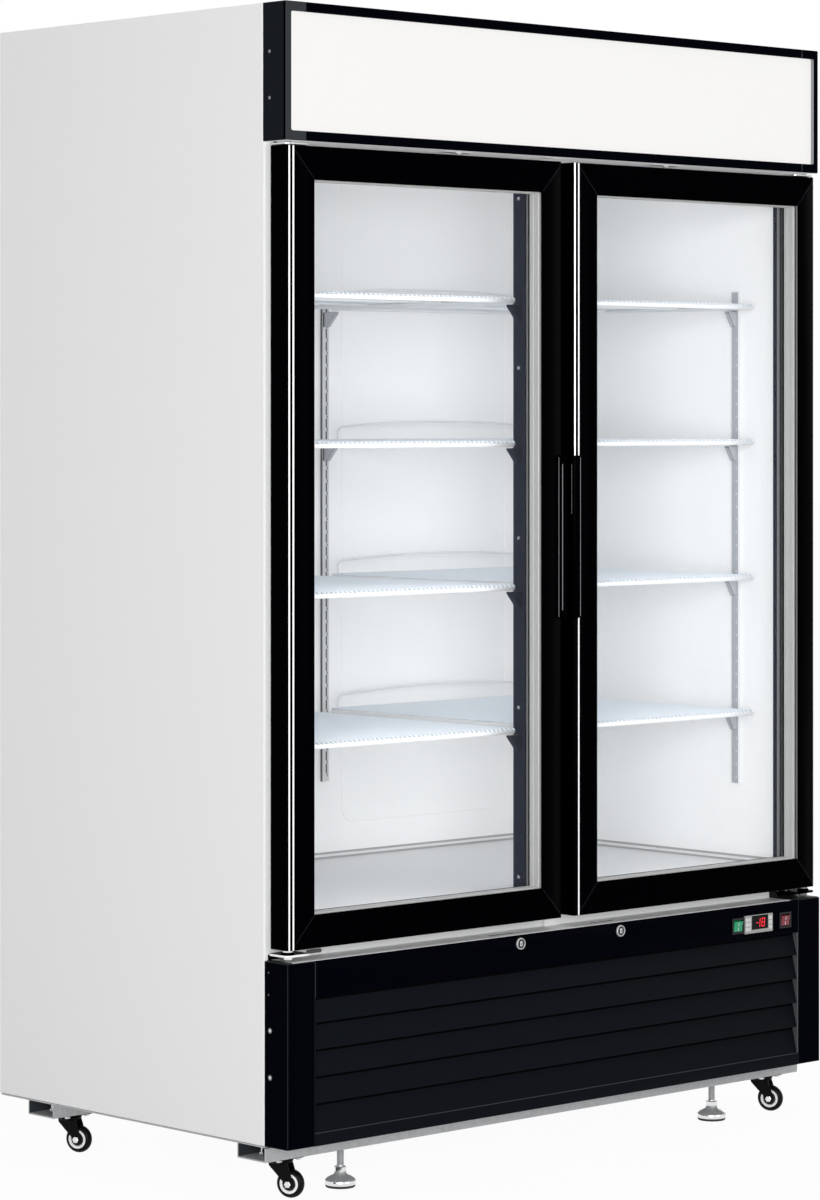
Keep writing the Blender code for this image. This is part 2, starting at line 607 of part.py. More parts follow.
def build_doors():
    """Each door: black frame, insulating glass unit, magnetic gasket and wrap-over edge handle."""
    for word, side in SIDES.items():
        pivot = (from_side(side, PIVOT_INSET), behind(PIVOT_DEPTH), 0)
        x_range = (from_side(side, DOOR_INSET), from_side(side, DOOR_INSET + DOOR_WIDTH))
        z_range = (DOOR_BOTTOM, DOOR_TOP)
        lip = (STILE, RAIL_FACE)
        seat = (STILE - GLASS_OVERLAP, RAIL_FACE - GLASS_OVERLAP)
        section = [(0, DOOR_REAR), (0, 0.0132), (0.0015, 0.0091), (0.0022, 0.0046), (0.0042, DOOR_FRONT),
                   (lip, DOOR_FRONT), (lip, GLASS_FRONT), (seat, GLASS_FRONT), (seat, GLASS_BACK),
                   (lip, GLASS_BACK), (lip, DOOR_REAR)]
        section = [(inset, behind(depth)) for inset, depth in section]
        ring = mitred_ring(x_range, z_range, section)
        frame = add(f"door_frame_{word}", ring, "gloss_black", pivot=pivot)
        bore, deep = PIVOT_RADIUS + 0.0004, PIVOT_HOLE_DEPTH
        sockets = [cylinder(bore, z - deep, z + deep, pivot, sides=16) for z in z_range]
        lock_x = side * LOCK_OFFSET
        sockets.append(box((lock_x - 0.040, behind(CAM_FRONT - 0.002), DOOR_BOTTOM - 0.01),
                           (lock_x + 0.011, behind(CAM_BACK + 0.002), LOCK_HEIGHT + CAM_LENGTH + 0.003)))
        cut(frame, together(sockets), "sockets")
        low_x, high_x = sorted(x_range)
        edge_x, edge_z = seat[0] + GAP, seat[1] + GAP
        pane = box((low_x + edge_x, behind(GLASS_FRONT + GAP), DOOR_BOTTOM + edge_z),
                   (high_x - edge_x, behind(GLASS_BACK - GAP), DOOR_TOP - edge_z))
        add(f"glass_unit_{word}", pane, "clear", pivot=pivot)
        near, far = behind(DOOR_REAR + GAP), behind(FRAME_FACE - GAP)
        gasket = [(GASKET_INSET, near), (GASKET_INSET + GASKET_WIDTH, near),
                  (GASKET_INSET + GASKET_WIDTH, far), (GASKET_INSET, far)]
        add(f"door_gasket_{word}", mitred_ring(x_range, z_range, gasket), "grey_rubber", pivot=pivot)
        free_edge = from_side(side, DOOR_INSET + DOOR_WIDTH)
        wrap, swell, back = 0.0065, 0.009, 0.043
        skin_front, skin_back = -0.0015, DOOR_FRONT - GAP
        outline = [(-wrap, skin_front), (swell / 2, skin_front), (swell, 0.002), (swell, back),
                   (GAP, back), (GAP, skin_back), (-wrap, skin_back)]
        outline = [(free_edge - side * past, behind(depth)) for past, depth in outline]
        grip = prism(outline, "z", HANDLE_BOTTOM, HANDLE_TOP)
        handle = add(f"door_handle_{word}", grip, "gloss_black", pivot=pivot)
        recess = box((free_edge - side * 0.004, behind(0.0065), HANDLE_BOTTOM + 0.0155),
                     (free_edge - side * (swell + 0.002), behind(0.036), HANDLE_TOP - 0.0155))
        cut(handle, recess, "finger_recess")


def build_bottom_hinges():
    """Steel plates on the front frame, each with a pin and a bearing washer under its door."""
    for word, side in SIDES.items():
        foot = (from_side(side, PIVOT_INSET), behind(PIVOT_DEPTH), 0)
        plate = box((from_side(side, 0.006), behind(0.008), 0.4245),
                    (from_side(side, 0.060), behind(FRAME_FACE - GAP), 0.4285))
        hinge = add(f"hinge_bottom_{word}", plate, "steel", pivot=foot)
        join_on(hinge, box((from_side(side, 0.006), behind(FRAME_FACE - 0.004), 0.4172),
                           (from_side(side, 0.060), behind(FRAME_FACE - GAP), 0.4265)), "flange")
        washer_top, pin_top = DOOR_BOTTOM - GAP, DOOR_BOTTOM + 0.013
        profile = [(0, 0.427), (0.009, 0.427), (0.009, washer_top), (PIVOT_RADIUS, washer_top),
                   (PIVOT_RADIUS, pin_top), (0, pin_top)]
        join_on(hinge, turned(profile, foot, sides=16), "pin")


def build_underside():
    """Channel rails with caster plates, four swivel casters and two levelling feet."""
    for word, front in RAIL_FRONTS.items():
        inner, outer = RAIL_WALL, RAIL_DEPTH
        outline = [(0, RAIL_BOTTOM), (outer, RAIL_BOTTOM), (outer, RAIL_TOP), (outer - inner, RAIL_TOP),
                   (outer - inner, RAIL_BOTTOM + inner), (inner, RAIL_BOTTOM + inner), (inner, RAIL_TOP),
                   (0, RAIL_TOP)]
        outline = [(behind(front + depth), z) for depth, z in outline]
        rail = add(f"chassis_rail_{word}", prism(outline, "x", -HALF + 0.0005, HALF - 0.0005), "zinc")
        middle = behind(front + RAIL_DEPTH / 2)
        plates = [box((from_side(side, CASTER_INSET) - 0.030, middle - 0.030, RAIL_BOTTOM - 0.0025),
                      (from_side(side, CASTER_INSET) + 0.030, middle + 0.030, RAIL_BOTTOM + 0.001))
                  for side in SIDES.values()]
        join_on(rail, together(plates), "caster_plates")
        if word == "front":
            holes = [cylinder(0.0066, 0.050, 0.080, (from_side(side, FOOT_INSET), middle, 0), sides=16)
                     for side in SIDES.values()]
            cut(rail, together(holes), "foot_holes")
        for side_word, side in SIDES.items():
            lift = FRONT_WHEEL_LIFT if word == "front" else 0.0
            build_caster(f"{word}_{side_word}", (from_side(side, CASTER_INSET), middle, lift))
    for word, side in SIDES.items():
        build_foot(word, (from_side(side, FOOT_INSET), behind(RAIL_FRONTS["front"] + RAIL_DEPTH / 2), 0))


def build_caster(word, swivel):
    """A swivel fork with its axle, and a tyre that turns on the axle."""
    world = Matrix.Translation(swivel) @ Matrix.Rotation(CASTER_TURN, 4, "Z")
    head_low, head_high = RAIL_BOTTOM - 0.0125, RAIL_BOTTOM - 0.0038
    head = turned([(0, head_low), (0.021, head_low), (0.023, head_high - 0.003), (0.018, head_high),
                   (0, head_high)], (0, 0, 0), sides=20)
    fork = add(f"caster_fork_{word}", moved(head, world), "black_shell", pivot=swivel)
    inner, outer = WHEEL_WIDTH / 2 + 0.0015, WHEEL_WIDTH / 2 + 0.004
    leg_top = head_low + 0.0015
    leg = [(-0.016, leg_top), (0.018, leg_top), (CASTER_TRAIL + 0.007, 0.030), (CASTER_TRAIL + 0.006, 0.019),
           (CASTER_TRAIL - 0.006, 0.019), (CASTER_TRAIL - 0.009, 0.030)]
    legs = [prism(leg, "y", *sorted((face * inner, face * outer))) for face in (-1, 1)]
    join_on(fork, moved(together(legs), world), "legs")
    axle = cylinder(AXLE_RADIUS, -outer - 0.003, outer + 0.003, (CASTER_TRAIL, 0, WHEEL_RADIUS), "y", 12)
    join_on(fork, moved(axle, world), "axle")
    half = WHEEL_WIDTH / 2
    bore = AXLE_RADIUS + GAP
    tyre = [(bore, -half), (0.019, -half), (0.0215, -half), (0.0243, -half + 0.003),
            (WHEEL_RADIUS, -half + 0.0065), (WHEEL_RADIUS, half - 0.0065),
            (0.0243, half - 0.003), (0.0215, half), (bore, half)]
    wheel = turned(tyre, (CASTER_TRAIL, 0, WHEEL_RADIUS), "y", 28, closed=True)
    axle_point = world @ Vector((CASTER_TRAIL, 0, WHEEL_RADIUS))
    add(f"caster_wheel_{word}", moved(wheel, world), "black_wheel", pivot=tuple(axle_point), smooth=True)


def build_foot(word, centre):
    """A levelling foot: threaded stud and a domed pad; its hex flange turns it up or down."""
    profile = [(0, 0), (0.026, 0), (0.027, 0.003), (0.027, 0.008), (0.022, 0.017), (0.012, 0.024),
               (0.0095, 0.027), (0.0062, 0.027), (0.0062, 0.080), (0, 0.080)]
    shape = turned(profile, centre, sides=28)
    foot = add(f"levelling_foot_{word}", shape, "chrome", pivot=centre, smooth=True)
    join_on(foot, cylinder(0.0108, 0.026, 0.037, centre, sides=6), "hex")


def main():
    clear_scene()
    build_cabinet()
    build_front_frame()
    build_pilasters()
    build_shelves()
    build_cooling()
    build_canopy()
    build_fascia()
    build_controls()
    build_doors()
    build_bottom_hinges()
    build_underside()


main()
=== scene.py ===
"""Looks of the two-door display freezer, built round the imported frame.

Metres, +Z up. The origin is on the floor under the middle of the cabinet and the doors face -Y.
"""
import math

import bmesh
import bpy
from mathutils import Matrix, Vector


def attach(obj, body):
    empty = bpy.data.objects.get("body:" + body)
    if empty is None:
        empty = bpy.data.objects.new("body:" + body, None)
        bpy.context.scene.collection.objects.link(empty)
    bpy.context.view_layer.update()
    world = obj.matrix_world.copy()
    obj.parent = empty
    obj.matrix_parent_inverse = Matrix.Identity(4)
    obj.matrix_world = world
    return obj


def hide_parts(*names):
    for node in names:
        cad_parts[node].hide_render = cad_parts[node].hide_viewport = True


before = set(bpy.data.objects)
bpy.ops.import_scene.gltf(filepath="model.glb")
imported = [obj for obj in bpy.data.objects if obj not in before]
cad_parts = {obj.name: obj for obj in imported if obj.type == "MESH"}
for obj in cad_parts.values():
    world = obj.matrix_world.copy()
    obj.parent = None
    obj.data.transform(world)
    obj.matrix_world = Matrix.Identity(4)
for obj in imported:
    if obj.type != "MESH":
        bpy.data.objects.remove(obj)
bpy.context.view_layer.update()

# Sizes, nearly all of them the solid part's own
HALF = 0.685
HEIGHT = 2.046
FRONT = -0.396
REAR = 0.400
GAP = 0.0003
FLOOR_CLEARANCE = 0.100
FASCIA_TOP = 0.4155
CANOPY_BOTTOM = 1.8105
CANOPY_FRONT = 0.004
CABINET_FRONT = 0.060
FRAME_FACE = 0.0575
FRAME_BACK = 0.0597
WALL = 0.058
REAR_INSIDE = 0.738
INSIDE_FLOOR = 0.478
CEILING = 1.812
LINTEL = 1.750
FRAME_BAR = 0.060
DOOR_INSET = 0.010
DOOR_WIDTH = 0.658
DOOR_BOTTOM = 0.436
DOOR_TOP = 1.8025
DOOR_FRONT = 0.002
DOOR_REAR = 0.054
STILE = 0.0545
RAIL_FACE = 0.058
GLASS_OVERLAP = 0.006
GLASS_FRONT = 0.005
GLASS_BACK = 0.0385
PIVOT_INSET = 0.022
PIVOT_DEPTH = 0.024
HANDLE_BOTTOM = 0.977
HANDLE_TOP = 1.271
HANDLE_WRAP = 0.0065
HANDLE_SWELL = 0.009
HANDLE_BACK = 0.043
HANDLE_RECESS = (0.0065, 0.036)
HANDLE_RECESS_END = 0.0155
SHELF_LEVELS = [1.5588 - 0.2611 * level for level in range(4)]
SHELF_FRONT = 0.097
SHELF_BACK = 0.700
PILASTER_BOTTOM = 0.629
PILASTER_TOP = 1.583
PILASTER_WIDTH = 0.016
PILASTER_DEPTH = 0.007
PILASTER_DEPTHS = {"front": 0.1625, "rear": 0.640}
CENTRE_PILASTER_INSET = 0.6235
CLIP_REACHES = {"mullion": 0.030, "side": 0.024, "centre": 0.032}
CLIP_HEIGHT = 0.029
CLIP_DROP = 0.0137
CANOPY_LAP = 0.0637
COLUMN = 0.063
LOUVRE_TOP = 0.353
LOUVRE_FIRST = 0.0429
LOUVRE_PITCH = 0.0459
LOUVRE_FOOT = 0.1225
LOUVRE_COUNT = 5
LOUVRE_SETBACK = 0.014
LOCK_OFFSET = 0.129
LOCK_HEIGHT = 0.400
LOCK_RADIUS = 0.0108
CONTROLLER = (0.5057, 0.3804)
CONTROLLER_HALF = (0.039, 0.017)
SWITCHES = {"green": 0.450, "red": 0.584}
SWITCH_Z = 0.380
RAIL_FRONTS = {"front": 0.057, "rear": 0.638}
RAIL_BOTTOM = 0.072
RAIL_TOP = 0.0967
RAIL_DEPTH = 0.073
CASTER_INSET = 0.066
CASTER_TRAIL = 0.020
CASTER_TURN = math.radians(-65)
WHEEL_RADIUS = 0.025
FRONT_WHEEL_LIFT = 0.0008
FOOT_INSET = 0.206
SKIN_SIDE = 0.0005
SIDES = {"left": -1, "right": 1}


def behind(distance):
    """Y at a distance behind the front of the fascia."""
    return FRONT + distance


def from_side(side, inset):
    """X at a distance in from the left (-1) or right (1) side of the cabinet."""
    return side * (HALF - inset)


# Shapes


def box(low, high):
    corners = [sorted(pair) for pair in zip(low, high)]
    size = [pair[1] - pair[0] for pair in corners]
    centre = [(pair[0] + pair[1]) / 2 for pair in corners]
    shape = bmesh.new()
    stretch = Matrix.Translation(centre) @ Matrix.Diagonal((*size, 1.0))
    bmesh.ops.create_cube(shape, size=1.0, matrix=stretch)
    return shape


def prism(outline, axis, low, high):
    """An outline pushed along an axis: (y, z) along x, (x, z) along y or (x, y) along z."""
    order = {"x": lambda a, b, c: (c, a, b),
             "y": lambda a, b, c: (a, c, b),
             "z": lambda a, b, c: (a, b, c)}
    shape = bmesh.new()
    ends = [[shape.verts.new(order[axis](a, b, c)) for a, b in outline] for c in (low, high)]
    shape.faces.new(ends[0])
    shape.faces.new(ends[1])
    count = len(outline)
    for index in range(count):
        after = (index + 1) % count
        shape.faces.new((ends[0][index], ends[0][after], ends[1][after], ends[1][index]))
    bmesh.ops.recalc_face_normals(shape, faces=shape.faces)
    return shape


def ring_bars(x_range, z_range, section, mitre=0.0):
    """Four mitred bars round an opening: section points are (inset from the outer edge, y).

    An inset may be a pair: one for the upright sides and one for the top and bottom. Faces are numbered
    by their place in the section, plus 100 for the right, 200 for the top and 300 for the left bar.
    """
    x0, x1 = sorted(x_range)
    z0, z1 = z_range
    bars = []
    for turn in range(4):
        shape = bmesh.new()
        ends = [[], []]
        for inset, y in section:
            across, up = inset if isinstance(inset, tuple) else (inset, inset)
            left, right, low, high = x0 + across, x1 - across, z0 + up, z1 - up
            corners = {0: ((left + mitre, low), (right - mitre, low)),
                       1: ((right, low + mitre), (right, high - mitre)),
                       2: ((right - mitre, high), (left + mitre, high)),
                       3: ((left, high - mitre), (left, low + mitre))}[turn]
            for end, (x, z) in zip(ends, corners):
                end.append(shape.verts.new((x, y, z)))
        shape.faces.new(ends[0])
        shape.faces.new(ends[1])
        count = len(section)
        for index in range(count):
            after = (index + 1) % count
            face = shape.faces.new((ends[0][index], ends[0][after], ends[1][after], ends[1][index]))
            face.material_index = index + 100 * turn
        bmesh.ops.recalc_face_normals(shape, faces=shape.faces)
        bars.append(shape)
    return together(bars)


def turned(profile, centre=(0, 0, 0), axis="z", sides=32, closed=False):
    """A turned piece: profile points are (radius, height); closed makes a ring with a bore."""
    shape = bmesh.new()
    rings = []
    for radius, height in profile:
        if radius == 0:
            rings.append([shape.verts.new((0, 0, height))])
            continue
        ring = []
        for step in range(sides):
            angle = 2 * math.pi * step / sides
            ring.append(shape.verts.new((radius * math.cos(angle), radius * math.sin(angle), height)))
        rings.append(ring)
    pairs = list(zip(rings, rings[1:]))
    if closed:
        pairs.append((rings[-1], rings[0]))
    for lower, upper in pairs:
        for step in range(sides):
            after = (step + 1) % sides
            corners = [lower[step % len(lower)], lower[after % len(lower)]]
            corners += [upper[after % len(upper)], upper[step % len(upper)]]
            shape.faces.new(list(dict.fromkeys(corners)))
    bmesh.ops.recalc_face_normals(shape, faces=shape.faces)
    turns = {"z": Matrix(), "y": Matrix.Rotation(math.radians(-90), 4, "X"),
             "x": Matrix.Rotation(math.radians(90), 4, "Y")}
    return moved(shape, Matrix.Translation(centre) @ turns[axis])


def cylinder(radius, low, high, centre=(0, 0, 0), axis="z", sides=24, edge=0.0):
    profile = [(0, low), (radius - edge, low), (radius, low + edge), (radius, high - edge),
               (radius - edge, high), (0, high)]
    if edge == 0:
        profile = [(0, low), (radius, low), (radius, high), (0, high)]
    return turned(profile, centre, axis, sides)


def tube(points, radius, sides=8, loop=False):
    """A round rod along a line of points, with closed ends or as a loop."""
    points = [Vector(point) for point in points]
    count = len(points)
    shape = bmesh.new()
    rings = []
    side = None
    for index, point in enumerate(points):
        before = points[index - 1] if index or loop else point
        after = points[(index + 1) % count] if index < count - 1 or loop else point
        along = (after - before).normalized()
        if side is None:
            side = along.orthogonal()
        side = (side - along * side.dot(along)).normalized()
        other = along.cross(side)
        ring = []
        for step in range(sides):
            angle = 2 * math.pi * (step + 0.5) / sides
            offset = side * math.cos(angle) + other * math.sin(angle)
            ring.append(shape.verts.new(point + offset * radius))
        rings.append(ring)
    pairs = list(zip(rings, rings[1:]))
    if loop:
        pairs.append((rings[-1], rings[0]))
    for lower, upper in pairs:
        for step in range(sides):
            after = (step + 1) % sides
            shape.faces.new((lower[step], lower[after], upper[after], upper[step]))
    if not loop:
        shape.faces.new(rings[0])
        shape.faces.new(rings[-1])
    bmesh.ops.recalc_face_normals(shape, faces=shape.faces)
    return shape


def arc(centre, radius, start, end, steps):
    """Points on an arc in a plane, angles in degrees."""
    points = []
    for step in range(steps + 1):
        angle = math.radians(start + (end - start) * step / steps)
        points.append((centre[0] + radius * math.cos(angle), centre[1] + radius * math.sin(angle)))
    return points


def rounded(x0, x1, z0, z1, radius, steps=5):
    """Outline of a rectangle with round corners."""
    points = arc((x1 - radius, z1 - radius), radius, 0, 90, steps)
    points += arc((x0 + radius, z1 - radius), radius, 90, 180, steps)
    points += arc((x0 + radius, z0 + radius), radius, 180, 270, steps)
    points += arc((x1 - radius, z0 + radius), radius, 270, 360, steps)
    return points


def slotted(columns, rows, is_hole, thickness):
    """A sheet in the XY plane with rectangular holes; it is `thickness` deep along -Z."""
    shape = bmesh.new()
    grid = {}
    for i, x in enumerate(columns):
        for j, y in enumerate(rows):
            grid[i, j] = shape.verts.new((x, y, 0))
    for i in range(len(columns) - 1):
        for j in range(len(rows) - 1):
            if not is_hole(i, j):
                shape.faces.new((grid[i, j], grid[i + 1, j], grid[i + 1, j + 1], grid[i, j + 1]))
    loose = [vert for vert in shape.verts if not vert.link_faces]
    bmesh.ops.delete(shape, geom=loose, context="VERTS")
    made = bmesh.ops.extrude_face_region(shape, geom=list(shape.faces))
    lowered = [item for item in made["geom"] if isinstance(item, bmesh.types.BMVert)]
    bmesh.ops.translate(shape, vec=(0, 0, -thickness), verts=lowered)
    bmesh.ops.recalc_face_normals(shape, faces=shape.faces)
    return shape


def stood_up(y):
    """Turns a sheet from the XY plane into the XZ plane, at a place along Y."""
    return Matrix.Translation((0, y, 0)) @ Matrix.Rotation(math.radians(90), 4, "X")


def moved(shape, matrix):
    bmesh.ops.transform(shape, matrix=matrix, verts=shape.verts)
    return shape


def together(shapes):
    """Several shapes in one mesh."""
    whole = bmesh.new()
    for shape in shapes:
        mesh = bpy.data.meshes.new("shape")
        shape.to_mesh(mesh)
        shape.free()
        whole.from_mesh(mesh)
        bpy.data.meshes.remove(mesh)
    return whole


# Pieces


def piece(name, shape, finish, body="cabinet", replaces=(), bevel=0.0, segments=2, smooth=35,
          edge=-1):
    """A named piece that rides on a body; finish is one material or a list for the shape's indices.

    With a bevel, edge is the index of the material that the bevelled edges get.
    """
    mesh = bpy.data.meshes.new(name)
    shape.to_mesh(mesh)
    shape.free()
    item = bpy.data.objects.new(name, mesh)
    bpy.context.scene.collection.objects.link(item)
    for material in finish if isinstance(finish, (list, tuple)) else [finish]:
        mesh.materials.append(material)
    mesh.shade_smooth()
    if bevel:
        modifier = item.modifiers.new("edges", "BEVEL")
        modifier.width = bevel
        modifier.segments = segments
        modifier.limit_method = "ANGLE"
        modifier.angle_limit = math.radians(35)
        modifier.harden_normals = True
        modifier.material = edge
    else:
        mesh.set_sharp_from_angle(angle=math.radians(smooth))
    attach(item, body)
    if replaces:
        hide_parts(*replaces)
    return item


def cad_copy(node):
    """The solid's own shape, welded, as a start for a piece that replaces it."""
    shape = bmesh.new()
    shape.from_mesh(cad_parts[node].data)
    bmesh.ops.remove_doubles(shape, verts=shape.verts, dist=1e-6)
    bmesh.ops.dissolve_limit(shape, angle_limit=math.radians(0.5), verts=shape.verts, edges=shape.edges)
    for face in shape.faces:
        face.material_index = 0
    return shape


def paint(shape, index, test):
    """Gives the faces that pass a test another of the piece's materials."""
    shape.normal_update()
    for face in shape.faces:
        if test(face.normal, face.calc_center_median()):
            face.material_index = index
    return shape


def marked(shape, index=0):
    """Gives all faces of a shape one of the piece's materials."""
    for face in shape.faces:
        face.material_index = index
    return shape


def screw(point, direction, radius=0.0035, height=0.0016):
    """A pan-head screw with a cross recess, standing on a face."""
    profile = [(0, -0.001), (radius, -0.001), (radius, height * 0.35), (radius * 0.85, height * 0.75),
               (radius * 0.45, height), (radius * 0.30, height), (radius * 0.12, height * 0.45),
               (0, height * 0.45)]
    return moved(turned(profile, sides=16), facing(point, direction))


def washer(point, direction, inner, outer, height):
    """A flat ring standing on a face."""
    profile = [(inner, -0.0004), (outer, -0.0004), (outer, height * 0.5), (outer * 0.93, height),
               (inner, height)]
    return moved(turned(profile, sides=24, closed=True), facing(point, direction))


def facing(point, direction):
    """Stands a shape made along +Z on a point, pointing in a direction."""
    turn = Vector((0, 0, 1)).rotation_difference(Vector(direction)).to_matrix().to_4x4()
    return Matrix.Translation(point) @ turn


def hexagon(radius, low, high, centre, axis="z"):
    return cylinder(radius, low, high, centre, axis, sides=6, edge=radius * 0.12)


# Materials


def surface(name, colour, roughness, metallic=0.0, grain=400.0, tint=0.0, spread=0.0, bump=0.0,
            depth=0.0002, stretch=(1, 1, 1), detail=3.0, pattern="noise", **sockets):
    """A Principled material whose colour, roughness and relief vary with a fine grain."""
    made = bpy.data.materials.new(name)
    made.use_nodes = True
    nodes, links = made.node_tree.nodes, made.node_tree.links
    shader = nodes["Principled BSDF"]
    shader.inputs["Base Color"].default_value = (*colour, 1.0)
    shader.inputs["Roughness"].default_value = roughness
    shader.inputs["Metallic"].default_value = metallic
    for label, value in sockets.items():
        shader.inputs[label.replace("_", " ")].default_value = value
    made.diffuse_color = (*colour, 1.0)
    place = nodes.new("ShaderNodeTexCoord")
    scale = nodes.new("ShaderNodeMapping")
    scale.inputs["Scale"].default_value = stretch
    links.new(place.outputs["Object"], scale.inputs["Vector"])
    if pattern == "cells":
        texture = nodes.new("ShaderNodeTexVoronoi")
        texture.inputs["Scale"].default_value = grain
        value = texture.outputs["Color"]
    else:
        texture = nodes.new("ShaderNodeTexNoise")
        texture.inputs["Scale"].default_value = grain
        texture.inputs["Detail"].default_value = detail
        value = texture.outputs["Fac"]
    links.new(scale.outputs["Vector"], texture.inputs["Vector"])
    if tint:
        mix = nodes.new("ShaderNodeMix")
        mix.data_type = "RGBA"
        mix.inputs["A"].default_value = (*[c * (1 - tint) for c in colour], 1.0)
        mix.inputs["B"].default_value = (*[min(1.0, c * (1 + tint)) for c in colour], 1.0)
        links.new(value, mix.inputs["Factor"])
        links.new(mix.outputs["Result"], shader.inputs["Base Color"])
    if spread:
        span = nodes.new("ShaderNodeMapRange")
        span.inputs["To Min"].default_value = max(0.02, roughness - spread)
        span.inputs["To Max"].default_value = min(1.0, roughness + spread)
        links.new(value, span.inputs["Value"])
        links.new(span.outputs["Result"], shader.inputs["Roughness"])
    if bump:
        relief = nodes.new("ShaderNodeBump")
        relief.inputs["Strength"].default_value = bump
        relief.inputs["Distance"].default_value = depth
        links.new(value, relief.inputs["Height"])
        links.new(relief.outputs["Normal"], shader.inputs["Normal"])
    return made


def clear_glass(name):
    """Clear glass that lets the lamps through to what is behind it."""
    made = bpy.data.materials.new(name)
    made.use_nodes = True
    nodes, links = made.node_tree.nodes, made.node_tree.links
    shader = nodes["Principled BSDF"]
    shader.inputs["Base Color"].default_value = (0.994, 0.996, 0.995, 1.0)
    shader.inputs["Roughness"].default_value = 0.0
    shader.inputs["IOR"].default_value = 1.14
    shader.inputs["Transmission Weight"].default_value = 1.0
    see = nodes.new("ShaderNodeBsdfTransparent")
    see.inputs["Color"].default_value = (0.990, 0.992, 0.991, 1.0)
    rays = nodes.new("ShaderNodeLightPath")
    either = nodes.new("ShaderNodeMath")
    either.operation = "MAXIMUM"
    links.new(rays.outputs["Is Shadow Ray"], either.inputs[0])
    links.new(rays.outputs["Is Diffuse Ray"], either.inputs[1])
    mix = nodes.new("ShaderNodeMixShader")
    links.new(either.outputs["Value"], mix.inputs["Fac"])
    links.new(shader.outputs["BSDF"], mix.inputs[1])
    links.new(see.outputs["BSDF"], mix.inputs[2])
    links.new(mix.outputs["Shader"], nodes["Material Output"].inputs["Surface"])
    return made


POWDER = surface("powder_white", (0.735, 0.735, 0.735), 0.45, grain=900, spread=0.05, bump=0.04,
                 tint=0.008, Specular_IOR_Level=0.25)
LINER = surface("liner_white", (0.91, 0.913, 0.92), 0.40, grain=700, spread=0.05, bump=0.03, tint=0.008,
                Specular_IOR_Level=0.25)
LIGHT = surface("light_frame", (0.82, 0.825, 0.83), 0.36, grain=500, spread=0.05, bump=0.02, tint=0.015)
NAVY = surface("navy_steel", (0.0070, 0.0118, 0.0285), 0.35, grain=600, spread=0.04, tint=0.04,
               Specular_IOR_Level=0.03)
SATIN = surface("satin_black", (0.0006, 0.0008, 0.0022), 0.38, grain=900, spread=0.06, bump=0.05,
                tint=0.15, Specular_IOR_Level=0.004)
CANOPY = surface("canopy_black", (0.0074, 0.0090, 0.0115), 0.45, grain=900, spread=0.06, bump=0.06,
                 tint=0.10, Specular_IOR_Level=0.008)
# Dark grey: the lock plugs' colour, and also painted light and shade: the lighter left canopy end,
# highlight lines on door mitres and panel edges, and shade inside the rail channels.
END_GREY = surface("end_grey", (0.0260, 0.0300, 0.0330), 0.50, grain=900, spread=0.06, bump=0.06,
                   tint=0.08, Specular_IOR_Level=0.06)
# Painted highlight grey for the right louvre end plate; the left one stays charcoal.
END_PLATE_HIGHLIGHT = surface("louvre_end", (0.060, 0.066, 0.070), 0.50, grain=900, spread=0.06, bump=0.06,
                    tint=0.06)
# Light grey painted highlight, for the right canopy end's inner faces, the handles' lines and the flanges'
# sides.
HIGHLIGHT_GREY = surface("painted_highlight_grey", (0.22, 0.23, 0.24), 0.50, grain=900, spread=0.06, bump=0.06, tint=0.06)
CHARCOAL = surface("charcoal", (0.0044, 0.0056, 0.0078), 0.50, grain=900, spread=0.06, bump=0.08,
                   tint=0.12, Specular_IOR_Level=0.012)
GLOSS = surface("gloss_black", (0.0002, 0.0002, 0.0006), 0.20, grain=150, spread=0.03, bump=0.005,
                tint=0.1, Specular_IOR_Level=0.003)
# Grey painted highlight for bevelled edges.
PAINTED_GLINT = surface("painted_edge_glint", (0.11, 0.11, 0.11), 0.30, grain=150, spread=0.03, tint=0.1)
# Painted highlight for the bevelled corners of the black fascia columns.
CORNER_HIGHLIGHT = surface("painted_corner_highlight", (0.008, 0.010, 0.012), 0.40, grain=900, spread=0.03, tint=0.1,
                 Specular_IOR_Level=0.05)
# Near-white painted highlight on the bead facets of the black door frames, standing for reflections of the
# lamps.
BEAD_HIGHLIGHT = surface("painted_bead_highlight", (0.82, 0.82, 0.82), 0.30, metallic=0.25, grain=200, spread=0.04,
               tint=0.03)
JAMB = surface("door_jamb", (0.020, 0.023, 0.025), 0.40, grain=400, spread=0.05, bump=0.02, tint=0.08,
               Specular_IOR_Level=0.2)
# Grey painted highlight lines on the door frames' lip, jamb and groove faces.
JAMB_HIGHLIGHT = surface("door_jamb_highlight", (0.15, 0.155, 0.16), 0.40, grain=400, spread=0.05, bump=0.02,
                    tint=0.05)
OPAL = surface("opal_acrylic", (0.10, 0.10, 0.10), 0.40, grain=300, spread=0.04, bump=0.005, tint=0.01,
               Emission_Color=(1.0, 0.99, 0.97, 1.0), Emission_Strength=0.76)
# A faint glow on the reveal under the canopy: painted light.
REVEAL_GLOW = surface("reveal_painted_glow", (0.40, 0.40, 0.40), 0.40, grain=300, spread=0.04, tint=0.01,
                 Emission_Color=(1.0, 1.0, 1.0, 1.0), Emission_Strength=0.30)
GLASS = clear_glass("clear_glass")
SPACER = surface("spacer_bar", (0.48, 0.48, 0.475), 0.45, metallic=0.1, grain=300, spread=0.06,
                 bump=0.03, tint=0.06, stretch=(1, 1, 0.1))
GASKET = surface("gasket_rubber", (0.012, 0.013, 0.016), 0.55, grain=500, spread=0.06, bump=0.06,
                 tint=0.05)
ZINC = surface("galvanised", (0.37, 0.38, 0.39), 0.45, metallic=0.55, grain=160, spread=0.10, bump=0.03,
               tint=0.12, pattern="cells")
POST = surface("zinc_post", (0.42, 0.44, 0.475), 0.40, metallic=0.25, grain=300, spread=0.08, tint=0.06)
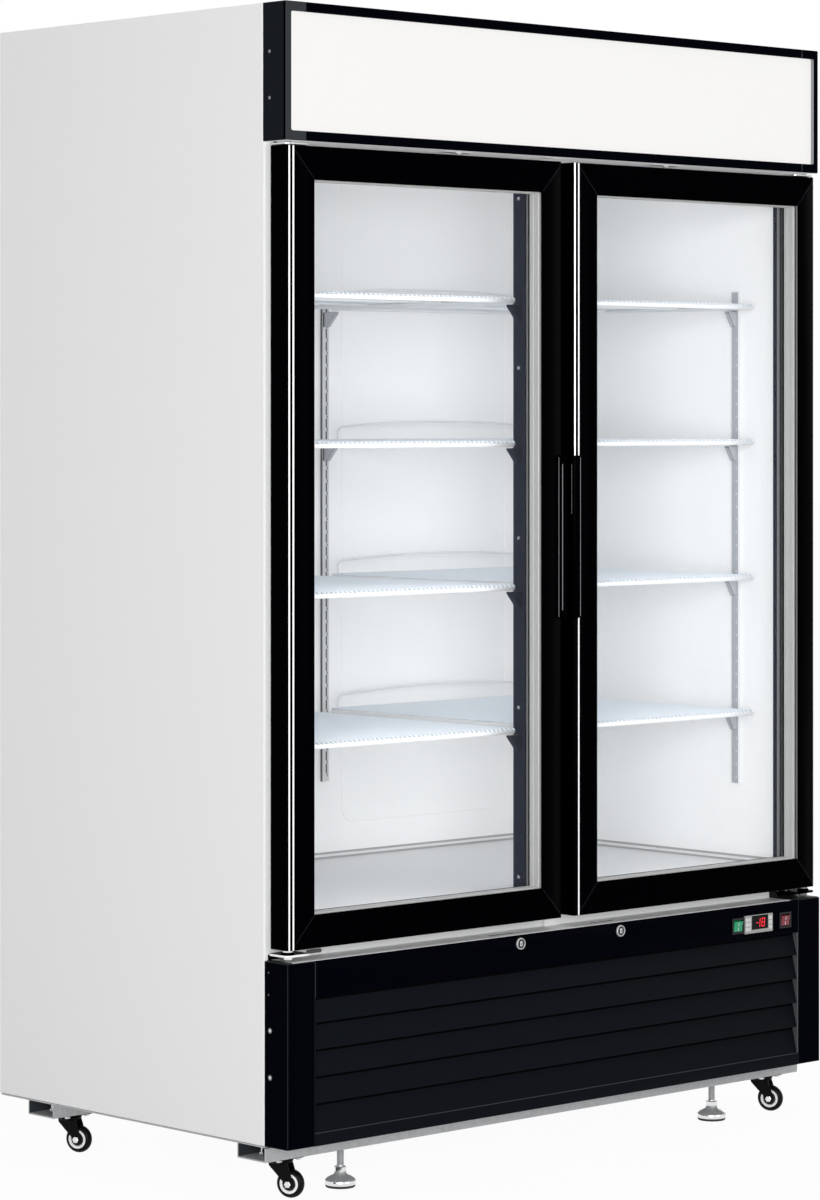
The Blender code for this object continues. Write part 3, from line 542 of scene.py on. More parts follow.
# A lighter copy of the zinc post finish for the centre posts: painted light.
LIT_POST = surface("zinc_post_painted_light", (0.60, 0.61, 0.63), 0.40, metallic=0.15, grain=300, spread=0.08,
                    tint=0.05)
STEEL = surface("plated_steel", (0.62, 0.63, 0.64), 0.28, metallic=1.0, grain=350, spread=0.08,
                tint=0.06)
DULL = surface("dull_steel", (0.22, 0.225, 0.23), 0.35, metallic=0.8, grain=350, spread=0.08, tint=0.10)
CHROME = surface("chrome", (0.78, 0.78, 0.79), 0.10, metallic=1.0, grain=250, spread=0.04, tint=0.02)
PLATED = surface("satin_chrome", (0.50, 0.505, 0.51), 0.42, metallic=0.75, grain=250, spread=0.06,
                 tint=0.05)
BRUSHED = surface("brushed_stainless", (0.76, 0.765, 0.775), 0.40, metallic=0.08, grain=500,
                  spread=0.10, bump=0.03, tint=0.04, stretch=(0.02, 1, 1))
# Mid grey painted shade, for the cove's floor and wall edges and the strip behind the shelf wire ends.
MID_GREY_SHADE = surface("painted_shade_mid_grey", (0.36, 0.365, 0.37), 0.45, grain=500, spread=0.06, bump=0.02, tint=0.05)
WIRE = surface("white_coating", (0.73, 0.745, 0.77), 0.32, grain=600, spread=0.05, bump=0.02, tint=0.01)
# Bluish painted shade on the white coating, for the shelves' front-to-back wires.
WIRE_SHADED = surface("wire_with_painted_blue_shade", (0.79, 0.845, 0.91), 0.40, grain=600, spread=0.05, bump=0.02,
                   tint=0.015)
SILVER = surface("silver_plastic", (0.28, 0.28, 0.275), 0.45, metallic=0.1, grain=900, spread=0.06,
                 bump=0.06, tint=0.05)
WINDOW = surface("display_window", (0.0015, 0.0015, 0.002), 0.15, grain=300, spread=0.03, tint=0.1,
                 Specular_IOR_Level=0.1)
DIGIT = surface("lit_digits", (0.60, 0.010, 0.015), 0.4, grain=500, tint=0.05,
                Emission_Color=(1.0, 0.02, 0.03, 1.0), Emission_Strength=0.8)
GREEN = surface("green_lens", (0.004, 0.21, 0.095), 0.25, grain=400, spread=0.05, tint=0.12,
                Emission_Color=(0.0, 0.45, 0.18, 1.0), Emission_Strength=0.09)
DEEP_GREEN = surface("green_lens_shade", (0.002, 0.060, 0.030), 0.25, grain=400, spread=0.05, tint=0.12)
RED = surface("red_lens", (0.27, 0.016, 0.034), 0.25, grain=400, spread=0.05, tint=0.12,
              Emission_Color=(0.75, 0.02, 0.06, 1.0), Emission_Strength=0.10)
DEEP_RED = surface("red_lens_shade", (0.16, 0.010, 0.022), 0.25, grain=400, spread=0.05, tint=0.12)
MARK = surface("pale_mark", (0.72, 0.74, 0.73), 0.45, grain=500, spread=0.05, tint=0.03)
# Black painted shadow, put where slots, hollows and gaps fall into shade.
SHADOW_BLACK = surface("painted_shadow_black", (0.0012, 0.0012, 0.0014), 0.6, grain=500, spread=0.05, bump=0.05,
               tint=0.15, Specular_IOR_Level=0.01)
# Grey painted shade, for slots, holes, recesses and shaded post flanks.
SHADE = surface("painted_shade_grey", (0.085, 0.088, 0.090), 0.5, grain=500, spread=0.05, bump=0.05, tint=0.1)
FORK = surface("black_pressing", (0.0025, 0.0025, 0.0030), 0.35, grain=500, spread=0.08, bump=0.04,
               tint=0.15, Specular_IOR_Level=0.06)
TYRE = surface("black_tyre", (0.0030, 0.0030, 0.0040), 0.40, grain=500, spread=0.08, bump=0.06,
               tint=0.15, Specular_IOR_Level=0.08)
HUB = surface("white_hub", (0.80, 0.80, 0.80), 0.40, grain=500, spread=0.06, bump=0.03, tint=0.02)
RUBBER = surface("rubber_pad", (0.012, 0.012, 0.012), 0.7, grain=600, spread=0.06, bump=0.12, tint=0.15)
ENAMEL = surface("black_enamel", (0.012, 0.012, 0.013), 0.28, grain=300, spread=0.06, bump=0.04,
                 tint=0.15)
FINS = surface("fin_stock", (0.62, 0.63, 0.64), 0.36, metallic=0.9, grain=900, spread=0.10, bump=0.20,
               tint=0.12, stretch=(1, 0.02, 0.02))
MOULDED = surface("black_moulding", (0.010, 0.010, 0.011), 0.5, grain=700, spread=0.06, bump=0.08,
                  tint=0.15, Specular_IOR_Level=0.2)


# Cabinet


def build_shell():
    inner = HALF - WALL - GAP
    rear_inside = behind(REAR_INSIDE)
    for word, side in SIDES.items():
        outline = [(behind(CABINET_FRONT), FLOOR_CLEARANCE), (REAR, FLOOR_CLEARANCE), (REAR, HEIGHT),
                   (behind(CANOPY_LAP), HEIGHT), (behind(CANOPY_LAP), CANOPY_BOTTOM),
                   (behind(CABINET_FRONT), CANOPY_BOTTOM)]
        shape = prism(outline, "x", from_side(side, 0), from_side(side, WALL))
        paint(shape, 1, lambda normal, centre, side=side: normal.x * side < -0.9)
        piece(f"side_panel_{word}", shape, [POWDER, LINER], replaces=[f"side_wall_{word}"],
              bevel=0.0022, segments=3)
    wall_bottom = FASCIA_TOP + GAP
    rear = REAR - 0.0016
    shape = box((-inner, rear_inside, wall_bottom), (inner, rear, HEIGHT))
    paint(shape, 1, lambda normal, centre: normal.y < -0.9)
    piece("back_panel", shape, [POWDER, LINER], replaces=["back_wall"], bevel=0.0006)
    build_rear_cover(rear, inner)
    beads = []
    for side in SIDES.values():
        low_x, high_x = sorted((from_side(side, 0.575), from_side(side, 0.125)))
        outline = rounded(low_x, high_x, 0.545, CEILING + 0.020, 0.030)
        beads.append(tube([(x, rear_inside + 0.0004, z) for x, z in outline], 0.0014, 8, loop=True))
    piece("back_panel_beads", together(beads), LINER, smooth=50)
    front = behind(CABINET_FRONT)
    header_back = behind(CABINET_FRONT + 0.055)
    outline = [(front, LINTEL + 0.010), (header_back, LINTEL + 0.010), (header_back, HEIGHT - WALL),
               (rear_inside - GAP, HEIGHT - WALL), (rear_inside - GAP, HEIGHT), (front, HEIGHT)]
    shape = prism(outline, "x", -inner, inner)
    paint(shape, 1, lambda normal, centre: normal.z < -0.9)
    piece("roof_panel", shape, [POWDER, LINER], replaces=["roof_wall"], bevel=0.0015)
    shape = box((-inner, front, wall_bottom), (inner, rear_inside - GAP, INSIDE_FLOOR))
    piece("floor_panel", shape, BRUSHED, replaces=["floor_slab"], bevel=0.0008)
    build_cove(inner, rear_inside)


def build_rear_cover(rear, inner):
    """A vented sheet over the machine space, held by screws, with the cable inlet."""
    columns, rows = [-inner], [FLOOR_CLEARANCE]
    for x in (-0.45, -0.27, -0.09, 0.09, 0.27):
        columns += [x - 0.070, x + 0.070]
    columns += [0.486, 0.514, inner]
    for z in (0.18, 0.21, 0.24, 0.27, 0.30):
        rows += [z - 0.004, z + 0.004]
    rows += [FASCIA_TOP + 0.020]

    def is_hole(column, row):
        vent = column % 2 == 1 and column < 10 and row % 2 == 1 and row < 10
        inlet = column == 11 and row in (3, 4)
        return vent or inlet

    sheet = slotted(columns, rows, is_hole, 0.0008)
    moved(sheet, stood_up(rear))
    piece("rear_cover", sheet, POWDER)
    screws = []
    for x in (-0.600, -0.30, 0.0, 0.30, 0.600):
        for z in (0.112, 0.424):
            screws.append(screw((x, rear + 0.0002, z), (0, 1, 0), 0.0045, 0.0013))
    piece("rear_cover_screws", together(screws), STEEL)


def build_cove(inner, rear_inside):
    """A cove strip where the floor meets the back and side walls, with mid grey painted shade along its
    floor and wall edges.
    """
    size = 0.0112
    curve = [(size, 0), (0, 0), (0, size)]
    curve += [(size - x, size - z) for x, z in arc((0, 0), size * 0.94, 8, 82, 5)]
    floor = INSIDE_FLOOR + 0.0002
    outline = [(rear_inside - 0.0004 - a, floor + b) for a, b in curve]
    strips = [prism(outline, "x", -inner + 0.001, inner - 0.001)]
    for side in SIDES.values():
        wall = side * (inner - 0.0002)
        outline = [(wall - side * a, floor + b) for a, b in curve]
        strips.append(prism(outline, "y", behind(0.070), rear_inside - 0.002))
    # The bands along the floor and wall edges are mid grey painted shade; the middle band is brushed like
    # the floor.
    shape = paint(together(strips), 1, lambda normal, centre: 0.30 < (centre.z - floor) / size < 0.75)
    piece("floor_cove", shape, [MID_GREY_SHADE, BRUSHED])


def build_front_frame():
    section = [(0, behind(FRAME_FACE)), (FRAME_BAR, behind(FRAME_FACE)),
               (FRAME_BAR, behind(FRAME_BACK)), (0, behind(FRAME_BACK))]
    section = [(inset + SKIN_SIDE, y) for inset, y in section]
    z_range = (FASCIA_TOP + GAP - SKIN_SIDE, LINTEL + FRAME_BAR)
    bars = ring_bars((-HALF, HALF), z_range, section)
    for face in bars.faces:
        face.material_index = 1 if face.material_index in (101, 301) else 0
    piece("front_frame_bars", bars, [LIGHT, NAVY], replaces=["front_frame"],
          bevel=0.0004)
    hardware = []
    for side in SIDES.values():
        low_x, high_x = sorted((from_side(side, 0.006), from_side(side, 0.060)))
        outline = rounded(low_x, high_x, behind(0.010), behind(FRAME_FACE), 0.006)
        hardware.append(prism(outline, "z", DOOR_TOP + 0.0012, DOOR_TOP + 0.0042))
        foot = (from_side(side, PIVOT_INSET), behind(PIVOT_DEPTH), 0)
        hardware.append(cylinder(0.005, DOOR_TOP - 0.013, DOOR_TOP + 0.0036, foot, edge=0.0006))
        hardware.append(marked(hexagon(0.0075, DOOR_TOP + 0.0040, DOOR_TOP + 0.0058, foot), 1))
        hardware.append(marked(cylinder(0.0085, DOOR_TOP + 0.0003, DOOR_TOP + 0.0050, foot), 1))
        block = from_side(side, 0.012), from_side(side, 0.016)
        hardware.append(marked(box((block[0], behind(0.044), DOOR_TOP + 0.0010),
                                   (block[1], behind(0.050), DOOR_TOP + 0.0070)), 1))
    piece("top_hinges", together(hardware), [STEEL, MOULDED], bevel=0.0004)
    # The strip under the canopy glows faintly: painted light.
    strip = box((-HALF + 0.004, behind(0.0065), CANOPY_BOTTOM - 0.0009),
                (HALF - 0.004, behind(FRAME_FACE), CANOPY_BOTTOM - GAP))
    piece("reveal_strip", strip, REVEAL_GLOW, bevel=0.0002)
    build_breaker()
    build_sill()


def build_breaker():
    """A dark breaker strip lining the opening behind the gaskets."""
    section = [(0, behind(0.0601)), (0.0014, behind(0.0601)), (0.0014, behind(0.0685)), (0, behind(0.0685))]
    inset = WALL + GAP
    ring = ring_bars((-HALF + inset, HALF - inset), (INSIDE_FLOOR + GAP, LINTEL + 0.0097), section)
    piece("breaker_strip", marked(ring), NAVY, bevel=0.0003)


def build_sill():
    """A grey strip on top of the fascia, slotted for the lock cams, and small plates by the doors."""
    left, right = -HALF + 0.0135, HALF - 0.082
    columns = [left]
    for side in (-1, 1):
        x = side * LOCK_OFFSET
        columns += [x - 0.053, x + 0.012]
    columns += [right]
    rows = [behind(0.0022), behind(0.025), behind(0.034), behind(FRAME_FACE - GAP)]
    sheet = slotted(columns, rows, lambda i, j: i in (1, 3) and j == 1, 0.0005)
    moved(sheet, Matrix.Translation((0, 0, FASCIA_TOP + 0.0006)))
    piece("sill_strip", sheet, LIGHT)
    covers = []
    for low_x, high_x in ((-HALF + 0.0035, left - GAP), (right + GAP, HALF - 0.0035)):
        covers.append(box((low_x, behind(0.0022), FASCIA_TOP + 0.0001),
                          (high_x, behind(FRAME_FACE - GAP), FASCIA_TOP + 0.0012)))
    back_plate = box((right, behind(FRAME_FACE - 0.0016), FASCIA_TOP + 0.0014),
                     (from_side(1, 0.0605), behind(FRAME_FACE - GAP), DOOR_BOTTOM - 0.004))
    piece("sill_covers", together(covers + [back_plate]), MOULDED, bevel=0.0003)
    # The hinge adjusting slot is a grey block of painted shade standing for the opening.
    outline = rounded(from_side(-1, 0.094), from_side(-1, 0.129), 0.4190, 0.4262, 0.0035)
    slot = prism(outline, "y", behind(FRAME_FACE - 0.0008), behind(FRAME_FACE + 0.001))
    piece("hinge_adjusting_slot", slot, SHADE)
    plates = []
    for low_x, high_x in ((-0.2956, -0.2292), (0.2369, 0.3106), (-0.0426, -0.0142)):
        plates.append(box((low_x, behind(0.020), CANOPY_BOTTOM - 0.0024),
                          (high_x, behind(0.036), CANOPY_BOTTOM - 0.0010)))
    for x in (-0.262, 0.274):
        outline = [(x - 0.010, CANOPY_BOTTOM - 0.002), (x + 0.010, CANOPY_BOTTOM - 0.002),
                   (x + 0.002, CANOPY_BOTTOM - 0.0052), (x - 0.002, CANOPY_BOTTOM - 0.0052)]
        plates.append(prism(outline, "y", behind(0.021), behind(0.026)))
    piece("door_closer_plates", together(plates), HUB, bevel=0.0003)
    plate = box((-0.0174, behind(0.050), FASCIA_TOP + 0.0008), (0.0188, behind(FRAME_FACE - GAP), 0.4335))
    piece("sill_plate", plate, HUB, bevel=0.0006)


def build_mullion():
    plate_half, web_half = 0.050, 0.028
    face, web_front, web_back = behind(FRAME_FACE), behind(FRAME_FACE + 0.0045), behind(0.122)
    outline = [(-plate_half, face), (plate_half, face), (plate_half, web_front), (web_half, web_front),
               (web_half, web_back), (-web_half, web_back), (-web_half, web_front),
               (-plate_half, web_front)]
    shape = prism(outline, "z", INSIDE_FLOOR + GAP, LINTEL - GAP)
    piece("mullion", shape, NAVY, replaces=["centre_mullion"], bevel=0.0008)
    screws, clips = [], []
    for side in SIDES.values():
        for z in (1.7388, 1.4302, 1.1198, 0.8111, 0.5025):
            screws.append(screw((side * web_half, behind(0.1074), z), (side, 0, 0), 0.0032, 0.0016))
        turn = Matrix.Rotation(0 if side > 0 else math.pi, 4, "Z")
        for level in SHELF_LEVELS:
            spot = Matrix.Translation((side * (web_half - 0.0005), behind(0.104), level - CLIP_DROP))
            clips.append(moved(clip(CLIP_REACHES["mullion"], CLIP_HEIGHT, 0.012), spot @ turn))
    piece("mullion_screws", together(screws), STEEL)
    piece("mullion_clips", together(clips), NAVY, bevel=0.0008)


# Shelving


def pilaster(place, tall_slots):
    """A slotted channel post; its local x is across, y is out of the wall and z is up.

    Posts with tall slots get black and grey painted shade inside and grey painted shade on one flank;
    the others get white painted light in their holes and on both flanks.
    """
    post, shade_black, lit_white, shade = range(4)
    half, depth, sheet = PILASTER_WIDTH / 2, PILASTER_DEPTH, 0.0012
    length = PILASTER_TOP - PILASTER_BOTTOM
    pitch = 0.025
    rows = [0.0]
    for step in range(int((length - 0.034) // pitch) + 1):
        middle = 0.012 + step * pitch
        rows += [middle - 0.0017, middle + 0.0017, middle + 0.0032, middle + 0.0215]
    rows.append(length)
    columns = [-half, -0.0006, 0.0024, 0.0034, 0.0054, half]

    def is_hole(column, row):
        small = column in (2, 3) and row % 4 == 1
        tall = tall_slots and column in (1, 2) and row % 4 == 3
        return (small or tall) and row < len(rows) - 2

    face = slotted(columns, rows, is_hole, sheet)
    stand = Matrix.Rotation(math.radians(90), 4, "X")
    turn = Matrix.Rotation(math.radians(180), 4, "Z")
    moved(face, turn @ Matrix.Translation((0, -depth, 0)) @ stand)
    parts = [face]
    # Tall-slot posts get grey painted shade on their world-left flank; the others get white painted light
    # on both flanks.
    flanks = (post, shade) if tall_slots else (lit_white, lit_white)
    for x, flank in zip((-half, half - sheet), flanks):
        parts.append(marked(box((x, 0, 0), (x + sheet, depth - sheet, length)), flank))
    # The fillings behind the holes are black and grey painted shade in tall-slot posts, and white painted
    # light set nearly flush in the others.
    split = -0.0029
    hollows = (shade_black, shade) if tall_slots else (lit_white, lit_white)
    filled = depth - (sheet + 0.0003 if tall_slots else 0.0002)
    for low_x, high_x, hollow in zip((-half + sheet, split), (split, half - sheet), hollows):
        filling = box((low_x, 0.0004, 0.001), (high_x, filled, length - 0.001))
        parts.append(marked(filling, hollow))
    return moved(together(parts), place)


def clip(reach, height, width):
    """A pressed shelf clip: a blunt triangular bracket; local x is outwards and its top is at z = 0."""
    outline = [(0, 0), (reach, 0), (reach, -0.0030), (reach - 0.0015, -0.0050), (0.008, -height),
               (0, -height)]
    return prism(outline, "y", -width / 2, width / 2)


def build_pilasters():
    spots = {}
    for word, side in SIDES.items():
        wall = from_side(side, WALL + GAP)
        quarter = Matrix.Rotation(math.radians(90 * side), 4, "Z")
        for label, depth in PILASTER_DEPTHS.items():
            spots[f"pilaster_{label}_{word}"] = Matrix.Translation((wall, behind(depth), 0)) @ quarter
        middle = (from_side(side, CENTRE_PILASTER_INSET), behind(REAR_INSIDE) - GAP, 0)
        half_turn = Matrix.Rotation(math.radians(180), 4, "Z")
        spots[f"pilaster_centre_{word}"] = Matrix.Translation(middle) @ half_turn
    outward = Matrix.Rotation(math.radians(90), 4, "Z")
    for node, place in spots.items():
        foot = Matrix.Translation((0, 0, PILASTER_BOTTOM))
        centre = "centre" in node
        post = pilaster(place @ foot, centre)
        piece(f"{node}_post", post, [LIT_POST if centre else POST, SHADOW_BLACK, WIRE, SHADE], replaces=[node])
        reach = CLIP_REACHES["centre" if centre else "side"]
        clips = []
        for level in SHELF_LEVELS:
            spot = Matrix.Translation((0, PILASTER_DEPTH - 0.0005, level - CLIP_DROP))
            clips.append(moved(clip(reach, CLIP_HEIGHT, 0.010), place @ spot @ outward))
            # A black strip of painted shadow marks the slot in each centre clip.
            if centre:
                slot = box((0.0052, -0.0002, -CLIP_HEIGHT), (0.0079, 0.0009, -0.0005))
                clips.append(moved(marked(slot, 2), place @ spot))
        # The clips' bevelled edges get the grey painted highlight.
        piece(f"{node}_clips", together(clips), [POST, PAINTED_GLINT, SHADOW_BLACK], bevel=0.0007,
              edge=1)


def shelf(side, top):
    """A wire shelf: a rounded rod frame, cross rods, front-to-back wires in a bluish painted shade, a mid
    grey strip of painted shade behind their bent front ends and a raised rear stop.
    """
    left = from_side(side, 0.073) if side < 0 else from_side(side, 0.648)
    right = left + 0.575
    front, back = behind(SHELF_FRONT), behind(SHELF_BACK)
    rod, wire = 0.0042, 0.0015
    rod_z = top - 2 * wire - rod
    outline = rounded(left + rod, right - rod, front + rod, back - rod, 0.014, 4)
    parts = [tube([(x, y, rod_z) for x, y in outline], rod, 10, loop=True)]
    cross = 0.0025
    for share in (0.335, 0.665):
        y = front + (back - front) * share
        z = rod_z + rod - cross
        parts.append(tube([(left + rod, y, z), (right - rod, y, z)], cross))
    # The front-to-back wires get index 1, a bluish painted shade of the white coating.
    count = 51
    z = top - wire
    for index in range(count):
        x = left + 0.0115 + (right - left - 0.023) * index / (count - 1)
        line = [(x, back - 0.001, z), (x, front + 0.004, z), (x, front + 0.0018, z - 0.0008),
                (x, front + 0.0006, z - 0.003)]
        parts.append(marked(tube(line, wire, 6), 1))
    # A mid grey strip of painted shade shows between the wire ends.
    inset, past_rod = 0.012, front + 2 * rod
    strip = box((left + inset, past_rod, top - 2 * wire), (right - inset, past_rod + 0.001, top - 0.0006))
    return parts + [marked(strip, 2), shelf_stop(left, right, back, top)]


def shelf_stop(left, right, back, top):
    """A raised rod along the back of a shelf, bowed up in the middle."""
    rod, bend, bow = 0.0022, 0.014, 0.0090
    y = back - 0.006
    x0, x1 = left + 0.0225, right - 0.0225
    foot, shoulder = top - 0.006, top + 0.0245
    left_arc = arc((x0 + bend, shoulder - bend), bend, 180, 90, 5)
    right_arc = arc((x1 - bend, shoulder - bend), bend, 90, 0, 5)
    crest = []
    for step in range(1, 12):
        share = step / 12
        rise = bow * (1 - (2 * share - 1) ** 2)
        crest.append((x0 + bend + (x1 - x0 - 2 * bend) * share, shoulder + rise))
    line = [(x0, foot)] + left_arc + crest + right_arc + [(x1, foot)]
    return tube([(x, y, z) for x, z in line], rod, 8)


def build_shelves():
    for word, side in SIDES.items():
        for number, top in enumerate(SHELF_LEVELS, 1):
            piece(f"wire_shelf_{word}_{number}", together(shelf(side, top)), [WIRE, WIRE_SHADED, MID_GREY_SHADE],
                  replaces=[f"shelf_{word}_{number}"], smooth=50)


# Doors


def build_doors():
    black, bead_highlight, jamb, line, navy = range(5)
    lip, seat = (STILE, RAIL_FACE), (STILE - GLASS_OVERLAP, RAIL_FACE - GLASS_OVERLAP)
    lip_edge, groove = (STILE - 0.0012, RAIL_FACE - 0.0012), (STILE - 0.002, RAIL_FACE - 0.002)
    section = [(0, DOOR_REAR), (0, 0.0095), ((0.0006, 0.0002), 0.0089), ((0.0020, 0.0004), 0.0069),
               ((0.0050, 0.0008), 0.0034), ((0.0074, 0.0014), 0.0024), ((0.0080, 0.0018), DOOR_FRONT),
               (lip_edge, DOOR_FRONT), (lip, 0.0030), (lip, GLASS_FRONT), (seat, GLASS_FRONT),
               (seat, GLASS_BACK), (lip, GLASS_BACK), (lip, 0.0400), (lip, 0.0442), (groove, 0.0450),
               (groove, 0.0470), (lip, 0.0476), (lip, DOOR_REAR)]
    section = [(inset, behind(depth)) for inset, depth in section]
    # On the upright bars the bead facets get the near-white painted highlight, and some lip, jamb and
    # groove faces get grey painted highlight lines; the top and bottom bars stay black.
    left_bar = {2: bead_highlight, 4: bead_highlight, 7: line, 13: jamb, 14: jamb, 15: jamb, 17: line}
    right_bar = {2: bead_highlight, 7: line, 13: jamb, 14: jamb, 15: jamb, 17: line}
    by_mullion = {2: bead_highlight, 13: line, 17: navy}
    for word, side in SIDES.items():
        body = f"{word}_door"
        x_range = sorted((from_side(side, DOOR_INSET), from_side(side, DOOR_INSET + DOOR_WIDTH)))
        z_range = (DOOR_BOTTOM, DOOR_TOP)
        ring = ring_bars(x_range, z_range, section, mitre=0.00015)
        finishes = {1: right_bar if side > 0 else by_mullion, 3: left_bar}
        for face in ring.faces:
            bar, index = divmod(face.material_index, 100)
            face.material_index = finishes.get(bar, {}).get(index, black)
        lock_x = side * LOCK_OFFSET
        ring = with_pocket(ring, (lock_x - 0.040, behind(0.026), DOOR_BOTTOM),
                           (lock_x + 0.011, behind(0.033), LOCK_HEIGHT + 0.053))
        # Below the handle, the front of the right door's left edge is painted black, so its painted bead
        # highlight stops at the handle.
        if side > 0:
            bmesh.ops.bisect_plane(ring, geom=ring.verts[:] + ring.edges[:] + ring.faces[:],
                                   plane_co=(0, 0, HANDLE_BOTTOM), plane_no=(0, 0, 1))
            paint(ring, black, lambda normal, centre: centre.x < x_range[0] + 0.002
                  and centre.z < HANDLE_BOTTOM and centre.y < behind(0.009))
        piece(f"door_frame_{word}_bars", ring, [GLOSS, BEAD_HIGHLIGHT, JAMB, JAMB_HIGHLIGHT, NAVY], body,
              [f"door_frame_{word}"], bevel=0.00030)
        build_mitres(word, body, x_range, z_range)
        build_glass(word, body, x_range, z_range)
        build_gasket(word, body, x_range, z_range)
        build_handle(word, side, body)


def with_pocket(ring, low, high):
    """A door frame with a pocket for the lock cam in its bottom face."""
    for corner in (low, high):
        for normal in ((1, 0, 0), (0, 1, 0)):
            ring.normal_update()
            bottom = [face for face in ring.faces if face.normal.z < -0.9
                      and face.calc_center_median().z < DOOR_BOTTOM + GAP]
            edges = {edge for face in bottom for edge in face.edges}
            verts = {vert for face in bottom for vert in face.verts}
            bmesh.ops.bisect_plane(ring, geom=[*verts, *edges, *bottom], plane_co=corner, plane_no=normal)
    ring.normal_update()
    inside = [face for face in ring.faces if face.normal.z < -0.9
              and all(low[axis] < face.calc_center_median()[axis] < high[axis] for axis in (0, 1))]
    bmesh.ops.delete(ring, geom=inside, context="FACES")
    lining = box(low, high)
    lining.normal_update()
    bmesh.ops.delete(lining, geom=[face for face in lining.faces if face.normal.z < -0.9], context="FACES")
    bmesh.ops.reverse_faces(lining, faces=lining.faces)
    return together([ring, lining])


def build_mitres(word, body, x_range, z_range):
    """Thin seams across the corners of a door frame, grey against the black frame as a painted highlight.
    """
    thick, rise, start = 0.0004, 0.0001, 0.009
    seams = []
    for x, inward in ((x_range[0], 1), (x_range[1], -1)):
        for z, upward in ((z_range[0], 1), (z_range[1], -1)):
            along = Vector((inward * STILE, 0, upward * RAIL_FACE))
            near = Vector((x, 0, z)) + along * (start / STILE)
            across = Vector((-along.z, 0, along.x)).normalized() * thick
            far = Vector((x, 0, z)) + along * (1 - 0.002 / STILE)
            corners = [near, near + across, far + across, far]
            outline = [(corner.x, corner.z) for corner in corners]
            seams.append(prism(outline, "y", behind(DOOR_FRONT - rise), behind(DOOR_FRONT + 0.0004)))
    piece(f"door_mitres_{word}", together(seams), END_GREY, body)


def build_handle(word, side, body):
    """The edge handle with its flange on the door's face, and grey painted highlight lines along its long
    edges and on the flange's side.
    """
    shape = cad_copy(f"door_handle_{word}")
    piece(f"door_handle_{word}_grip", shape, GLOSS, body, [f"door_handle_{word}"],
          bevel=0.0008, segments=3)
    free_edge = from_side(side, DOOR_INSET + DOOR_WIDTH)
    low, high = HANDLE_BOTTOM + 0.003, HANDLE_TOP - 0.003
    flange = box((free_edge + side * (HANDLE_WRAP + 0.0002), behind(DOOR_FRONT - 0.0018), low),
                 (free_edge + side * (HANDLE_WRAP + 0.0066), behind(DOOR_FRONT - 0.0001), high))
    # The flange's outer side face gets a light grey painted highlight.
    paint(flange, 1, lambda normal, centre: normal.x * side > 0.5)
    piece(f"door_handle_{word}_flange", flange, [GLOSS, HIGHLIGHT_GREY], body)
    recess_low, recess_high = HANDLE_BOTTOM + HANDLE_RECESS_END, HANDLE_TOP - HANDLE_RECESS_END
    recess_near, recess_far = HANDLE_RECESS
    glow_low = recess_high - 0.090
    wrap_span = (low, high) if side > 0 else (recess_low, recess_high)
    size = 0.0009
    highlights = []
    # Light grey painted highlight lines along the handle's back edge, its recess edges and the wrap's edge.
    for past, depth, bottom, top in ((HANDLE_SWELL, HANDLE_BACK - 0.0009, low, high),
                                     (HANDLE_SWELL, recess_far + 0.0004, recess_low, recess_high),
                                     (HANDLE_SWELL, recess_near - size, glow_low, recess_high),
                                     (-HANDLE_WRAP + size, -0.0015, *wrap_span)):
        x = free_edge - side * past
        highlights.append(box((x - side * 0.0001, behind(depth - 0.0001), bottom),
                         (x + side * size, behind(depth + size), top)))
    piece(f"door_handle_{word}_lines", together(highlights), HIGHLIGHT_GREY, body)


def build_glass(word, body, x_range, z_range):
    """Two panes with a spacer bar round the edge."""
    across, up = STILE - GLASS_OVERLAP + GAP, RAIL_FACE - GLASS_OVERLAP + GAP
    low = (x_range[0] + across, z_range[0] + up)
    high = (x_range[1] - across, z_range[1] - up)
    pane = 0.0036
    panes = []
    for near in (GLASS_FRONT + 0.0004, GLASS_BACK - 0.0004 - pane):
        panes.append(box((low[0], behind(near), low[1]), (high[0], behind(near + pane), high[1])))
    piece(f"glass_panes_{word}", together(panes), GLASS, body, [f"glass_unit_{word}"])
    near, far = GLASS_FRONT + 0.0048, GLASS_BACK - 0.0048
    groove = (near + far) / 2
    section = [(0.002, near), (0.0072, near), (0.0080, near + 0.0008), (0.0080, groove - 0.0020),
               (0.0074, groove - 0.0014), (0.0074, groove + 0.0014), (0.0080, groove + 0.0020),
               (0.0080, far - 0.0008), (0.0072, far), (0.002, far)]
    section = [(inset, behind(depth)) for inset, depth in section]
    ring = marked(ring_bars((low[0], high[0]), (low[1], high[1]), section))
    piece(f"glass_spacer_{word}", ring, SPACER, body)


def build_gasket(word, body, x_range, z_range):
    """A bellows gasket with a magnet strip."""
    near, far = DOOR_REAR + GAP, FRAME_FACE - GAP
    waist, belly = near + 0.0010, near + 0.0016
    section = [(0.0130, near), (0.0230, near), (0.0222, waist), (0.0240, belly), (0.0236, far),
               (0.0124, far), (0.0120, belly), (0.0138, waist)]
    section = [(inset, behind(depth)) for inset, depth in section]
    piece(f"door_gasket_{word}_strip", marked(ring_bars(x_range, z_range, section)), GASKET, body,
          [f"door_gasket_{word}"], bevel=0.0002)


